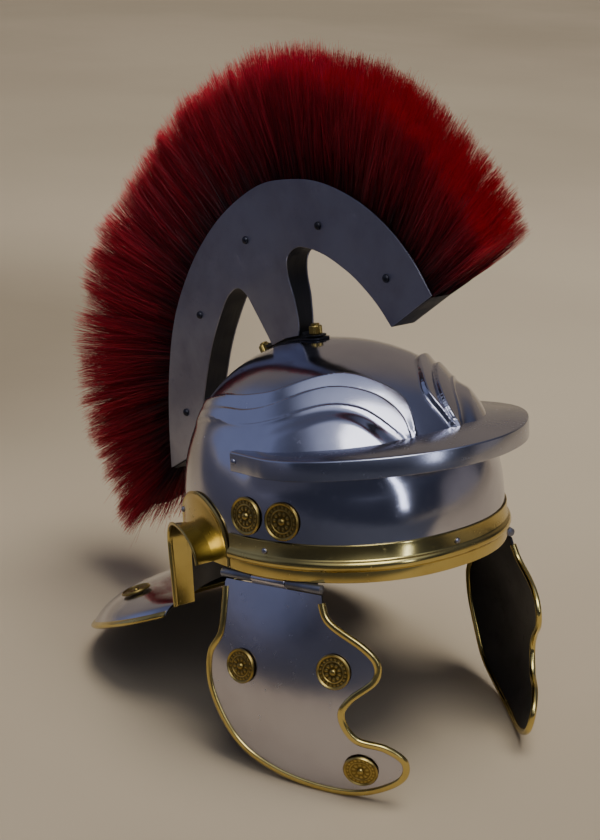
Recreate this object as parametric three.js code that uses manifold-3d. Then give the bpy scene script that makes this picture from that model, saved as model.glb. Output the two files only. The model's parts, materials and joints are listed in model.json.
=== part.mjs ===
// Roman legionary helmet with a removable horsehair crest, in millimetres.
// Helmet frame: -Y is the front, +X the wearer's left, +Z up, and z = 0 is the plane of the rim.
// The helmet stands tipped back on its cheek guards and on the rear edge of its neck guard.
import * as THREE from 'three';
import { mergeVertices } from 'three/addons/utils/BufferGeometryUtils.js';
import Module from 'manifold-3d';

const wasm = await Module();
wasm.setup();

// Driving dimensions.
const GAP = 0.3;
const TIP_BACK = THREE.MathUtils.degToRad(8.17);
const BOWL = {
  halfWidth: 103, frontLength: 118.5, rearLength: 112, height: 132, wallTop: 23,
  frontPower: 2.2, rearPower: 1.95, domePower: 2.2, sheet: 1.6,
};
const NAPE = { depth: 30, fall: 0.2 };
const NECK = {
  halfWidth: 125, rearLength: 112, frontLength: 65.5, centreY: 95, power: 2.3, edgeZ: -31, fall: 0.325, shelf: 0.8,
};
const EAR = { centreY: 30, halfLength: 27, height: 20, flange: 14, thick: 1.2, legBottom: -45 };
const BAND = { rearY: -15.5, top: 23, bead: 10, thick: 1.1 };
const BROW = { height: 13, thick: 1.2, topAtCentre: 75.5, rise: 0.067 };
const HINGE = { frontY: -84, frontX: 83, rearY: -8, rearX: 105, z: -4.4, knuckle: 2.9, bore: 1.5, pin: 1.2 };
const CHEEK = { sheet: 1.4, bulge: 16, depth: 152, roll: 340, rollCentre: -5, rollDepth: 40 };
const CREST = { halfThick: 10, plate: 1.2, legLean: 0.07, inset: 3, hair: 89, rearSpread: 18, rearFan: 0.55 };
const ROSETTE = { bowl: 12.5, cheek: 11.5, neck: 11, thick: 2.2 };
const RIM_COLUMNS = 48;
const DOME_ROWS = [0, 0.09, 0.19, 0.3, 0.41, 0.52, 0.63, 0.74, 0.86, 1];
const NECK_ROWS = [3.2, 3.45, 3.7, 3.88, 4];
const CREST_STEPS = 28;

// Materials.
const metal = (color, roughness) => new THREE.MeshStandardMaterial({ color, roughness, metalness: 1 });
const polishedSteel = metal(0x9a9ca8, 0.16);
const satinSteel = metal(0x7d8292, 0.38);
const brass = metal(0xb59a3c, 0.22);
const darkSteel = metal(0x3a3b40, 0.5);
const blackCore = new THREE.MeshStandardMaterial({ color: 0x17161a, roughness: 0.7, metalness: 0 });
const redHair = new THREE.MeshStandardMaterial({ color: 0x8e0f18, roughness: 0.8, metalness: 0 });

const helmet = new THREE.Group();
helmet.rotation.x = -TIP_BACK;

/** Adds one named mesh to the helmet. */
function addPart(name, geometry, material) {
  const mesh = new THREE.Mesh(geometry, material);
  mesh.name = name;
  helmet.add(mesh);
}

// ---------------------------------------------------------------- solids

/** Six times the signed volume of an indexed geometry. */
function signedVolume(geometry) {
  const position = geometry.getAttribute('position');
  const index = geometry.index.array;
  const corner = [0, 1, 2].map(() => new THREE.Vector3());
  let sum = 0;
  for (let i = 0; i < index.length; i += 3) {
    corner.forEach((point, k) => point.fromBufferAttribute(position, index[i + k]));
    sum += corner[0].dot(corner[1].cross(corner[2]));
  }
  return sum;
}

/** A geometry with shared corners, no empty triangles and its faces pointing outwards. */
function tidy(geometry) {
  geometry.deleteAttribute('normal');
  geometry.deleteAttribute('uv');
  const merged = mergeVertices(geometry, 1e-3);
  const old = merged.index.array;
  const kept = [];
  for (let i = 0; i < old.length; i += 3) {
    const [a, b, c] = [old[i], old[i + 1], old[i + 2]];
    if (a !== b && b !== c && c !== a) kept.push(a, b, c);
  }
  merged.setIndex(kept);
  if (signedVolume(merged) < 0) {
    for (let i = 0; i < kept.length; i += 3) {
      const swapped = kept[i];
      kept[i] = kept[i + 1];
      kept[i + 1] = swapped;
    }
    merged.setIndex(kept);
  }
  return merged;
}

/** The flat triangles that close one end ring. */
function capTriangles(ring) {
  const normal = new THREE.Vector3();
  ring.forEach((point, i) => normal.add(point.clone().cross(ring[(i + 1) % ring.length])));
  normal.normalize();
  const along = ring[1].clone().sub(ring[0]).normalize();
  const across = normal.clone().cross(along);
  const flat = ring.map((point) => new THREE.Vector2(point.dot(along), point.dot(across)));
  return THREE.ShapeUtils.triangulateShape(flat, []);
}

/** A solid through a row of closed rings, either capped at both ends or joined end to end. */
function loft(rings, joined = false) {
  const count = rings[0].length;
  const positions = rings.flat().flatMap((point) => [point.x, point.y, point.z]);
  const index = [];
  const spans = joined ? rings.length : rings.length - 1;
  for (let i = 0; i < spans; i += 1) {
    const next = (i + 1) % rings.length;
    for (let j = 0; j < count; j += 1) {
      const side = (j + 1) % count;
      const [a, b, c, d] = [i * count + j, i * count + side, next * count + side, next * count + j];
      index.push(a, b, c, a, c, d);
    }
  }
  if (!joined) {
    const last = (rings.length - 1) * count;
    capTriangles(rings[0]).forEach(([a, b, c]) => index.push(c, b, a));
    capTriangles(rings[rings.length - 1]).forEach(([a, b, c]) => index.push(last + a, last + b, last + c));
  }
  const geometry = new THREE.BufferGeometry();
  geometry.setAttribute('position', new THREE.Float32BufferAttribute(positions, 3));
  geometry.setIndex(index);
  return tidy(geometry);
}

/** A manifold solid from a closed geometry. */
function solid(geometry) {
  const clean = tidy(geometry.clone());
  const vertProperties = new Float32Array(clean.getAttribute('position').array);
  const triVerts = new Uint32Array(clean.index.array);
  return new wasm.Manifold(new wasm.Mesh({ numProp: 3, vertProperties, triVerts }));
}

/** A geometry from a manifold solid. */
function geometryOf(shape) {
  const mesh = shape.getMesh();
  const geometry = new THREE.BufferGeometry();
  const positions = [];
  for (let i = 0; i < mesh.vertProperties.length; i += mesh.numProp) {
    positions.push(...mesh.vertProperties.slice(i, i + 3));
  }
  geometry.setAttribute('position', new THREE.Float32BufferAttribute(positions, 3));
  geometry.setIndex(Array.from(mesh.triVerts));
  return geometry;
}

const join = (...parts) => geometryOf(parts.map(solid).reduce((sum, part) => sum.add(part)));
const common = (a, b) => geometryOf(solid(a).intersect(solid(b)));
const cut = (a, ...tools) => geometryOf(tools.map(solid).reduce((left, tool) => left.subtract(tool), solid(a)));

/** The same shape on the other side of the helmet. */
function mirrored(geometry) {
  return tidy(geometry.clone().scale(-1, 1, 1));
}

/** A prism of a side-view shape, drawn in Y and Z, between two values of x. */
function sidePrism(shape, fromX, toX, curveSegments = 8) {
  const options = { depth: toX - fromX, bevelEnabled: false, curveSegments };
  const geometry = new THREE.ExtrudeGeometry(shape, options).translate(0, 0, fromX);
  const [alongY, alongZ, alongX] = [new THREE.Vector3(0, 1, 0), new THREE.Vector3(0, 0, 1), new THREE.Vector3(1, 0, 0)];
  return tidy(geometry.applyMatrix4(new THREE.Matrix4().makeBasis(alongY, alongZ, alongX)));
}

/** A closed shape through points given as [y, z]. */
const polygon = (points) => new THREE.Shape(points.map(([a, b]) => new THREE.Vector2(a, b)));

/** A turned solid about Z from [radius, height] points that start and end on the axis. */
function turned(points, segments) {
  return new THREE.LatheGeometry(points.map(([r, h]) => new THREE.Vector2(r, h)), segments).rotateX(Math.PI / 2);
}

/** Moves a solid made about the origin so that its +Z points along a direction. */
function standOn(geometry, point, direction) {
  const turn = new THREE.Quaternion().setFromUnitVectors(new THREE.Vector3(0, 0, 1), direction.clone().normalize());
  return tidy(geometry.clone().applyQuaternion(turn).translate(point.x, point.y, point.z));
}

// ---------------------------------------------------------------- the bowl's skin

const signedPower = (value, power) => Math.sign(value) * Math.abs(value) ** power;

/** The rim's outline at an angle, where a positive sine is behind the ears. */
function rimPoint(theta) {
  const [c, s] = [Math.cos(theta), Math.sin(theta)];
  const power = s > 0 ? BOWL.rearPower : BOWL.frontPower;
  const length = s > 0 ? BOWL.rearLength : BOWL.frontLength;
  return new THREE.Vector2(BOWL.halfWidth * signedPower(c, 2 / power), length * signedPower(s, 2 / power));
}

/** The angle of the rim's outline at a value of y on the +X side. */
function rimAngle(y) {
  const power = y > 0 ? BOWL.rearPower : BOWL.frontPower;
  const length = y > 0 ? BOWL.rearLength : BOWL.frontLength;
  return Math.sign(y) * Math.asin((Math.abs(y) / length) ** (power / 2));
}

const neckEdgeZ = (y) => NECK.edgeZ - NECK.fall * y;

/** The neck guard's edge straight out from a point of the rim, away from the nape's middle. */
function neckEdge(point) {
  const start = new THREE.Vector2(0, 52);
  const way = point.clone().sub(start).normalize();
  let [near, far] = [0, 260];
  for (let i = 0; i < 40; i += 1) {
    const middle = (near + far) / 2;
    const [x, y] = [way.x * middle, start.y + way.y * middle - NECK.centreY];
    const length = y > 0 ? NECK.rearLength : NECK.frontLength;
    const inside = Math.abs(x / NECK.halfWidth) ** NECK.power + Math.abs(y / length) ** NECK.power < 1;
    [near, far] = inside ? [middle, far] : [near, middle];
  }
  return new THREE.Vector3(way.x * near, start.y + way.y * near, neckEdgeZ(start.y + way.y * near));
}

/** The outer skin: v runs 0 to 1 over the dome, to 2 down the wall, to 3 down the nape, to 4 over the neck guard. */
function skinPoint(theta, v) {
  const rim = rimPoint(theta);
  if (v <= 1) {
    const lift = ((1 - v) * Math.PI) / 2;
    const scale = Math.cos(lift) ** (2 / BOWL.domePower);
    const rise = Math.sin(lift) ** (2 / BOWL.domePower);
    return new THREE.Vector3(rim.x * scale, rim.y * scale, BOWL.wallTop + (BOWL.height - BOWL.wallTop) * rise);
  }
  if (v <= 2) return new THREE.Vector3(rim.x, rim.y, BOWL.wallTop * (2 - v));
  const foot = -NAPE.depth - NAPE.fall * Math.max(rim.y, 45);
  if (v <= 3) return new THREE.Vector3(rim.x, rim.y, foot * (v - 2));
  const edge = neckEdge(rim);
  const w = v - 3;
  const spread = 2 * w * (1 - w) * NECK.shelf + w * w;
  const drop = w * w - 0.16 * w * (1 - w);
  const x = rim.x + (edge.x - rim.x) * spread;
  const y = rim.y + (edge.y - rim.y) * spread;
  return new THREE.Vector3(x, y, foot + (edge.z - foot) * drop);
}

/** The skin's outward direction. */
function skinNormal(theta, v) {
  if (v < 1e-6) return new THREE.Vector3(0, 0, 1);
  const step = Math.abs(v - 3) < 1e-6 ? 0.06 : 2e-3;
  const around = skinPoint(theta + 2e-3, v).sub(skinPoint(theta - 2e-3, v));
  const down = skinPoint(theta, Math.min(v + step, 4)).sub(skinPoint(theta, v - step));
  return down.cross(around).normalize();
}

/** A point at a distance outside the skin. */
const offSkin = (theta, v, out) => skinPoint(theta, v).addScaledVector(skinNormal(theta, v), out);

/** A sheet between two distances from the skin, over the given rows and angles. */
function skinSheet(inner, outer, rows, from, to, columns) {
  const joined = to - from > 2 * Math.PI - 1e-6;
  const rings = [];
  for (let i = 0; i < columns + (joined ? 0 : 1); i += 1) {
    const theta = from + ((to - from) * i) / columns;
    const above = rows.map((v) => offSkin(theta, v, outer));
    const below = rows.map((v) => offSkin(theta, v, inner)).reverse();
    rings.push([...above, ...below]);
  }
  return loft(rings, joined);
}

/** The wall's place at y and z, on the +X side. */
function wallAt(y, z) {
  const rim = rimPoint(rimAngle(y));
  return new THREE.Vector3(rim.x, rim.y, z);
}

// ---------------------------------------------------------------- bowl and neck guard

/** Everything below the rim in front of the nape, and the arch over the ear, grown by a margin. */
function openSides(margin) {
  const rear = EAR.centreY + EAR.halfLength - margin;
  const front = EAR.centreY - EAR.halfLength + margin;
  const shape = new THREE.Shape();
  shape.moveTo(-200, -200);
  shape.lineTo(rear, -200);
  shape.lineTo(rear, 0);
  shape.absellipse(EAR.centreY, 0, EAR.halfLength - margin, EAR.height - margin, 0, Math.PI, false, 0);
  shape.lineTo(front, 0);
  shape.lineTo(-200, 0);
  return shape;
}

function makeBowl() {
  const rows = [...DOME_ROWS, 2, 3, ...NECK_ROWS];
  const blank = skinSheet(-BOWL.sheet, 0, rows, 0, 2 * Math.PI, RIM_COLUMNS);
  return cut(blank, sidePrism(openSides(0), -220, 220, 12));
}

// ---------------------------------------------------------------- brass rim band

function makeRimBand() {
  const t = GAP + BAND.thick;
  const profile = [
    [GAP, BAND.top], [t, BAND.top], [t, BAND.bead + 3.2], [t + 2, BAND.bead + 1.8], [t + 2.6, BAND.bead],
    [t + 2, BAND.bead - 1.8], [t, BAND.bead - 3], [t, -1.1], [-BOWL.sheet, -1.1], [-BOWL.sheet, -GAP], [GAP, -GAP],
  ];
  const start = rimAngle(BAND.rearY);
  const rings = [];
  for (let i = 0; i <= 24; i += 1) {
    const theta = start + ((-Math.PI - 2 * start) * i) / 24;
    const rim = rimPoint(theta);
    const way = skinNormal(theta, 1.5);
    rings.push(profile.map(([out, z]) => new THREE.Vector3(rim.x + way.x * out, rim.y + way.y * out, z)));
  }
  return loft(rings);
}

// ---------------------------------------------------------------- brow guard

const browTop = (y) => BROW.topAtCentre - BROW.rise * y;

/** The nearest point of the bowl's outline at a height, on the line from the middle to a point. */
function bowlOutlineTowards(x, y, z) {
  const rise = ((z - BOWL.wallTop) / (BOWL.height - BOWL.wallTop)) ** BOWL.domePower;
  const scale = (1 - rise) ** (1 / BOWL.domePower);
  const power = BOWL.frontPower;
  const size = Math.abs(x / (BOWL.halfWidth * scale)) ** power + Math.abs(y / (BOWL.frontLength * scale)) ** power;
  return new THREE.Vector2(x, y).multiplyScalar(size ** (-1 / power));
}

function makeBrowGuard() {
  const half = [[98.6, -15], [95.6, -33], [101, -43], [105, -57], [98.5, -80], [82, -104], [57, -126], [28, -139.5]];
  const left = half.map(([x, y]) => new THREE.Vector3(x, y, 0));
  const right = half.map(([x, y]) => new THREE.Vector3(-x, y, 0)).reverse();
  const path = new THREE.CatmullRomCurve3([...left, new THREE.Vector3(0, -144, 0), ...right], false, 'centripetal');
  const rings = [];
  const steps = 34;
  for (let i = 0; i <= steps; i += 1) {
    const point = path.getPoint(i / steps);
    const way = path.getTangent(i / steps);
    const out = new THREE.Vector2(-way.y, way.x).normalize();
    if (out.x * point.x + out.y * point.y < 0) out.negate();
    const top = browTop(point.y);
    const root = bowlOutlineTowards(point.x, point.y, top - BROW.thick);
    root.addScaledVector(root.clone().normalize(), 0.8);
    const [ix, iy] = [point.x - out.x * BROW.thick, point.y - out.y * BROW.thick];
    rings.push([
      new THREE.Vector3(point.x, point.y, top - BROW.height),
      new THREE.Vector3(point.x, point.y, top),
      new THREE.Vector3(root.x, root.y, top),
      new THREE.Vector3(root.x, root.y, top - BROW.thick),
      new THREE.Vector3(ix, iy, top - BROW.thick),
      new THREE.Vector3(ix, iy, top - BROW.height),
    ]);
  }
  return loft(rings);
}

// ---------------------------------------------------------------- ear guards

/** The plate's outline in side view, from the rim's end over the ear and down the nape. */
function earPlateOutline() {
  const shape = new THREE.Shape();
  shape.moveTo(-14.5, -0.5);
  shape.lineTo(-14.5, 10);
  shape.splineThru([[-9, 28], [4, 39], [20, 43], [38, 39], [54, 28], [66, 10]].map(([y, z]) => new THREE.Vector2(y, z)));
  shape.lineTo(67, -34);
  shape.lineTo(EAR.centreY + 25.5, -34);
  shape.lineTo(EAR.centreY + 25.5, 0);
  shape.absellipse(EAR.centreY, 0, 25.5, 18.5, 0, Math.PI, false, 0);
  shape.lineTo(EAR.centreY - 25.5, -0.5);
  return shape;
}

/** The flange that stands out round the ear, from the hinge's end to the neck guard. */
function makeEarFlange() {
  const inner = GAP + EAR.thick;
  const stations = [];
  for (let z = EAR.legBottom; z < -1; z += 15) stations.push([EAR.centreY + EAR.halfLength - inner, z, 1, 0]);
  for (let i = 0; i <= 10; i += 1) {
    const angle = (Math.PI * i) / 10;
    const [a, b] = [EAR.halfLength - inner, EAR.height - inner];
    stations.push([EAR.centreY + a * Math.cos(angle), b * Math.sin(angle), Math.cos(angle), Math.sin(angle)]);
  }
  stations.push([EAR.centreY - EAR.halfLength + inner, -2, -1, 0]);
  const rings = stations.map(([y, z, outY, outZ]) => {
    const [farY, farZ] = [y + outY * EAR.thick, z + outZ * EAR.thick];
    const [near, far] = [wallAt(y, z), wallAt(farY, farZ)];
    const at = (point, out) => new THREE.Vector3(point.x + out, point.y, point.z);
    return [at(near, -2.5), at(near, EAR.flange), at(far, EAR.flange), at(far, -2.5)];
  });
  return loft(rings);
}

function makeEarGuard() {
  const rows = [0.86, 0.92, 1, 2, 2.98];
  const sheet = skinSheet(GAP, GAP + 1, rows, rimAngle(-20), rimAngle(74), 12);
  const plate = common(sheet, sidePrism(earPlateOutline(), 40, 160, 4));
  return join(plate, makeEarFlange());
}

// ---------------------------------------------------------------- edging

/** A folded strip over a sheet's edge: its profile, as [out past the edge, up from the sheet's middle]. */
function edgingProfile(sheet, reach, play = GAP) {
  const inner = sheet / 2 + play;
  const outer = inner + 0.9;
  return [[-reach, outer], [1.6, outer], [1.6, -outer], [-reach, -outer], [-reach, -inner], [play, -inner],
    [play, inner], [-reach, inner]];
}

function makeNeckEdging() {
  const profile = edgingProfile(BOWL.sheet, 3.5, GAP * 2);
  const rings = [];
  for (let i = RIM_COLUMNS / 12; i <= (RIM_COLUMNS * 5) / 12; i += 1) {
    const theta = (2 * Math.PI * i) / RIM_COLUMNS;
    const edge = skinPoint(theta, 4);
    const out = edge.clone().sub(skinPoint(theta, NECK_ROWS[NECK_ROWS.length - 2])).normalize();
    const around = skinPoint(theta + 1e-3, 4).sub(skinPoint(theta - 1e-3, 4));
    const up = out.clone().cross(around).normalize();
    const middle = edge.addScaledVector(up, -BOWL.sheet / 2);
    rings.push(profile.map(([a, b]) => middle.clone().addScaledVector(out, a).addScaledVector(up, b)));
  }
  const shorten = (ring, next) => ring.forEach((point, i) => point.lerp(next[i], 0.12));
  shorten(rings[0], rings[1]);
  shorten(rings[rings.length - 1], rings[rings.length - 2]);
  return loft(rings);
}

// ---------------------------------------------------------------- cheek guards, made for the right side

const hingeFront = new THREE.Vector3(-HINGE.frontX, HINGE.frontY, HINGE.z);
const hingeRear = new THREE.Vector3(-HINGE.rearX, HINGE.rearY, HINGE.z);
const hingeMiddle = hingeFront.clone().add(hingeRear).multiplyScalar(0.5);
const hingeLength = hingeFront.distanceTo(hingeRear);
const hingeWay = hingeFront.clone().sub(hingeRear).normalize();
const cheekDown = new THREE.Vector3(0, 0, -1);
const cheekOut = cheekDown.clone().cross(hingeWay);

/** A point of the cheek guard: s forward along the hinge, d down from it, out from its surface. */
function cheekPoint(s, d, out = 0) {
  const swell = CHEEK.bulge * Math.sin((Math.PI * d) / CHEEK.depth);
  const roll = ((1 - Math.exp(-Math.max(d, 0) / CHEEK.rollDepth)) * (s - CHEEK.rollCentre) ** 2) / CHEEK.roll;
  return hingeMiddle.clone().addScaledVector(hingeWay, s).addScaledVector(cheekDown, d)
    .addScaledVector(cheekOut, swell - roll + out);
}

/** The outward direction of the cheek guard's surface. */
function cheekNormal(s, d) {
  const forward = cheekPoint(s + 0.5, d).sub(cheekPoint(s - 0.5, d));
  const down = cheekPoint(s, d + 0.5).sub(cheekPoint(s, d - 0.5));
  return down.cross(forward).normalize();
}

/** The outline from the hinge's front end round the two lobes to its rear end, as [s, d]. */
const CHEEK_OUTLINE = [
  [39.5, 3.6], [41, 11], [47, 20], [69, 32.5], [78.5, 43], [76.5, 55], [61, 68.5], [55, 80], [62, 95], [79, 100.5],
  [89, 111], [84, 125], [62, 135.5], [37, 136], [1, 127.5], [-27, 111.5], [-45, 80], [-46.5, 55], [-37, 38],
  [-36, 18], [-37, 3.6],
];

/** The outline as a smooth curve, without the straight edge at the hinge. */
function cheekCurve() {
  return new THREE.SplineCurve(CHEEK_OUTLINE.map(([s, d]) => new THREE.Vector2(s, d)));
}

/** A block in the cheek guard's own directions, as spans of s, d and out. */
function hingeBlock(s0, s1, d0, d1, out0, out1) {
  const block = new THREE.BoxGeometry(s1 - s0, d1 - d0, out1 - out0);
  block.translate((s0 + s1) / 2, (d0 + d1) / 2, -(out0 + out1) / 2);
  return tidy(block.applyMatrix4(hingeMatrix()));
}

/** Turns s, d and minus out into the helmet's directions. */
function hingeMatrix() {
  return new THREE.Matrix4().makeBasis(hingeWay, cheekDown, cheekOut.clone().negate()).setPosition(hingeMiddle);
}

/** One rolled knuckle of the hinge, from s0 to s1. */
function knuckle(s0, s1) {
  const [r, b] = [HINGE.knuckle, HINGE.bore];
  const ring = new THREE.LatheGeometry([[b, s0], [r, s0], [r, s1], [b, s1], [b, s0]].map(
    ([x, y]) => new THREE.Vector2(x, y)), 10);
  return tidy(ring.rotateZ(-Math.PI / 2).applyMatrix4(hingeMatrix()));
}

const KNUCKLES = { rear: [-39.5, -15.4], middle: [-14.9, 12], front: [12.5, 39.5] };

function makeCheekPlate() {
  const rings = [];
  const rows = [2, 16, 32, 48, 64, 80, 96, 112, 127, 140];
  for (let i = 0; i <= 9; i += 1) {
    const s = -50 + 16 * i;
    const above = rows.map((d) => cheekPoint(s, d));
    const below = rows.map((d) => cheekPoint(s, d, -CHEEK.sheet)).reverse();
    rings.push([...above, ...below]);
  }
  const outline = new THREE.ExtrudeGeometry(new THREE.Shape(cheekCurve().getPoints(36)),
    { depth: 120, bevelEnabled: false }).translate(0, 0, -60);
  const plate = common(loft(rings), tidy(outline.applyMatrix4(hingeMatrix())));
  const [s0, s1] = KNUCKLES.middle;
  return join(plate, knuckle(s0, s1), hingeBlock(s0, s1, 1.55, 7, -0.3, 1.2));
}

function makeCheekEdging() {
  const profile = edgingProfile(CHEEK.sheet, 3, GAP * 2);
  const curve = cheekCurve();
  const rings = [];
  const steps = 36;
  for (let i = 0; i <= steps; i += 1) {
    const u = 0.012 + (0.976 * i) / steps;
    const at = curve.getPoint(u);
    const way = curve.getTangent(u);
    const up = cheekNormal(at.x, at.y);
    const along = cheekPoint(at.x + way.x, at.y + way.y).sub(cheekPoint(at.x - way.x, at.y - way.y)).normalize();
    const out = along.clone().cross(up).normalize();
    const middle = cheekPoint(at.x, at.y, -CHEEK.sheet / 2);
    if (middle.clone().add(out).distanceTo(cheekPoint(15, 75)) < middle.distanceTo(cheekPoint(15, 75))) out.negate();
    rings.push(profile.map(([a, b]) => middle.clone().addScaledVector(out, a).addScaledVector(up, b)));
  }
  return loft(rings);
}

/** The fixed half of the hinge: a strip inside the wall with a knuckle at each end. */
function makeHingeLeaf() {
  const strip = skinSheet(-BOWL.sheet - GAP - 1.1, -BOWL.sheet - GAP, [1.4, 2.2],
    Math.PI - rimAngle(-8), Math.PI - rimAngle(-86), 7);
  const shape = polygon([[-79, 13], [-79, -2.6], [-61, -2.6], [-59, -0.6], [-32, -0.6], [-30, -2.6], [-13, -2.6], [-13, 13]]);
  const trimmed = common(strip, sidePrism(shape, -160, -20));
  const foot = (s0, s1, reach) => hingeBlock(s0, s1, -2.4, 0.6, -reach, -HINGE.bore - 0.2);
  const front = KNUCKLES.front;
  const rear = KNUCKLES.rear;
  return join(trimmed, knuckle(...front), knuckle(...rear), foot(front[0] + 4, front[1] - 6, 5),
    foot(rear[0] + 6, rear[1] - 4, 4));
}

function makeHingePin() {
  const pin = new THREE.CylinderGeometry(HINGE.pin, HINGE.pin, hingeLength + 1, 10);
  return tidy(pin.rotateZ(Math.PI / 2).applyMatrix4(hingeMatrix()));
}

// ---------------------------------------------------------------- crest

const CREST_OUTER = [
  [-114, 175], [-97, 196], [-74, 215], [-45, 230], [-9, 239.5], [25, 240], [60, 234], [100, 214], [132, 188],
  [156, 159], [174, 127], [185, 88], [190, 48], [191, 11],
];
const CREST_REAR_INNER = [[148, 33], [144, 62], [136, 90], [125, 118], [108, 147], [96, 158]];
const CREST_FRONT_INNER = [[20, 195.5], [6, 195], [-13, 191], [-35, 182], [-50, 173], [-63, 163], [-75, 151]];
const CREASE = [[84, 162], [33, 190]];
const LEG_REAR = [[72, 147], [61, 129], [57, 122.8]];
const LEG_FRONT = [[42, 129.2], [27, 133], [25.5, 141], [28, 159], [34, 177]];
const RIVETS_ON_CREST = [[-72, 182], [-5, 211], [77, 195.5], [139, 136], [165, 59]];

const toVectors = (points) => points.map(([y, z]) => new THREE.Vector2(y, z));

/** The crest's outer edge in side view, moved in by a distance, and the way along it at each point. */
function crestEdge(inset) {
  const outer = new THREE.SplineCurve(toVectors(CREST_OUTER)).getPoints(CREST_STEPS);
  return outer.map((point, i) => {
    const before = outer[Math.max(i - 1, 0)];
    const after = outer[Math.min(i + 1, CREST_STEPS)];
    const way = after.clone().sub(before).normalize();
    return { point: point.clone().add(new THREE.Vector2(way.y, -way.x).multiplyScalar(inset)), way };
  });
}

/** The crest's band in side view: the arch without its leg, with its outer edge moved in. */
function bandShape(inset) {
  const moved = crestEdge(inset).map(({ point }) => point);
  const rear = new THREE.SplineCurve(toVectors(CREST_REAR_INNER)).getPoints(9);
  const front = new THREE.SplineCurve(toVectors(CREST_FRONT_INNER)).getPoints(10);
  return new THREE.Shape([...moved, ...rear, ...toVectors(CREASE), ...front]);
}

/** The leg in side view, reaching a little into the band. */
function legShape() {
  const [rear, front] = CREASE;
  const lifted = [[rear[0] + 0.5, rear[1] + 2], [front[0] + 2, front[1] + 1]];
  return polygon([lifted[0], ...LEG_REAR, ...LEG_FRONT, lifted[1]]);
}

/** How far a point of the leg lies below the crease. */
function belowCrease(y, z) {
  const [rear, front] = CREASE;
  const along = new THREE.Vector2(front[0] - rear[0], front[1] - rear[1]).normalize();
  return along.x * (rear[1] - z) - along.y * (rear[0] - y);
}

/** A leg slab between two distances from the middle plane that both close in below the crease. */
function leaningSlab(shape, near, far) {
  const geometry = sidePrism(shape, 0, 1);
  const position = geometry.getAttribute('position');
  for (let i = 0; i < position.count; i += 1) {
    const lean = CREST.legLean * -belowCrease(position.getY(i), position.getZ(i));
    position.setX(i, (position.getX(i) < 0.5 ? near : far) + lean);
  }
  return geometry;
}

/** Small eight-sided holes for the rivets that pass through the crest. */
const rivetHoles = (radius) => RIVETS_ON_CREST.map(([y, z]) => {
  const hole = new THREE.CylinderGeometry(radius, radius, 60, 8).rotateZ(Math.PI / 2);
  return hole.translate(0, y, z);
});

/** The left side plate: a flat band and a leg that leans inwards. */
function makeCrestPlate() {
  const [near, far] = [CREST.halfThick - CREST.plate, CREST.halfThick];
  const band = sidePrism(bandShape(0), near, far);
  return cut(join(band, leaningSlab(legShape(), near, far)), ...rivetHoles(1.9));
}

/** The black core that fills the band and the upper leg between the plates. */
function makeCrestCore() {
  const half = CREST.halfThick - CREST.plate - GAP;
  const band = sidePrism(bandShape(CREST.inset), -half, half);
  const upper = polygon([[84.5, 164], [70.5, 146.5], [59, 129.5], [58, 131.2], [28, 135.4], [27, 141], [30, 158], [35, 177],
    [35, 191]]);
  const leg = new THREE.ExtrudeGeometry(upper, { depth: 1, bevelEnabled: false });
  const position = leg.getAttribute('position');
  for (let i = 0; i < position.count; i += 1) {
    const [y, z, side] = [position.getX(i), position.getY(i), position.getZ(i) < 0.5 ? -1 : 1];
    position.setXYZ(i, side * (half - 0.2 + CREST.legLean * -belowCrease(y, z)), y, z);
  }
  return cut(join(band, tidy(leg)), ...rivetHoles(1.9));
}

/** The strap over the crown that the crest screws to, with a tongue between the legs. */
function makeCrestHolder() {
  const sheet = skinSheet(GAP, 1.8, DOME_ROWS, 0, 2 * Math.PI, RIM_COLUMNS);
  const plan = new THREE.Shape(toVectors([[-8, 1], [8, 1], [8, 85], [-8, 85]]));
  const column = new THREE.ExtrudeGeometry(plan, { depth: 100, bevelEnabled: false }).translate(0, 0, 60);
  const tongue = sidePrism(polygon([[31, 129.9], [50, 124.1], [53, 131.5], [31, 134.5]]), -3.9, 3.9);
  return join(common(sheet, tidy(column)), tongue);
}

/** The place and direction of a screw through the holder's strap at y. */
function strapSeat(y) {
  let v = 0.2;
  const theta = Math.PI / 2;
  for (let i = 0; i < 30; i += 1) v += (y - skinPoint(theta, v).y) * 0.004;
  return { point: offSkin(theta, v, 1.8 + GAP), way: skinNormal(theta, v) };
}

/** A rivet through the whole crest, with a domed head on each side. */
function makeCrestRivet([y, z]) {
  const face = CREST.halfThick + GAP;
  const half = [[1.5, 0], [1.5, face], [2.6, face], [2.2, face + 1], [0, face + 1.6]];
  const profile = [...half.map(([r, h]) => [r, -h]).reverse(), ...half.slice(1)];
  const pin = new THREE.LatheGeometry(profile.map(([r, h]) => new THREE.Vector2(r, h)), 8);
  return tidy(pin.rotateZ(Math.PI / 2).translate(0, y, z));
}

/** The outer form of the horsehair, standing on the core between the plates. */
function makePlume() {
  const section = [[8.2, 0, 0], [8.4, 4, 0], [16, 60, 0.8], [19, 82, 1], [10, 90, 0.6]];
  const ring = [...section.map(([x, r, k]) => [-x, r, -k]), ...section.reverse()];
  const rings = crestEdge(CREST.inset - GAP).map(({ point, way }, i) => {
    const u = i / CREST_STEPS;
    const out = new THREE.Vector2(-way.y, way.x).rotateAround(new THREE.Vector2(), -CREST.rearFan * u ** 6);
    const loose = THREE.MathUtils.smoothstep(u, 0.5, 0.8);
    const length = (CREST.hair / 90) * (1 - 0.25 * (1 - u) ** 8 + 0.06 * loose);
    return ring.map(([x, r, k]) => {
      const [y, z] = [point.x + out.x * r * length, point.y + out.y * r * length];
      return new THREE.Vector3(x + k * CREST.rearSpread * loose, y, z);
    });
  });
  return loft(rings);
}

// ---------------------------------------------------------------- small brass and steel trim

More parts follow.
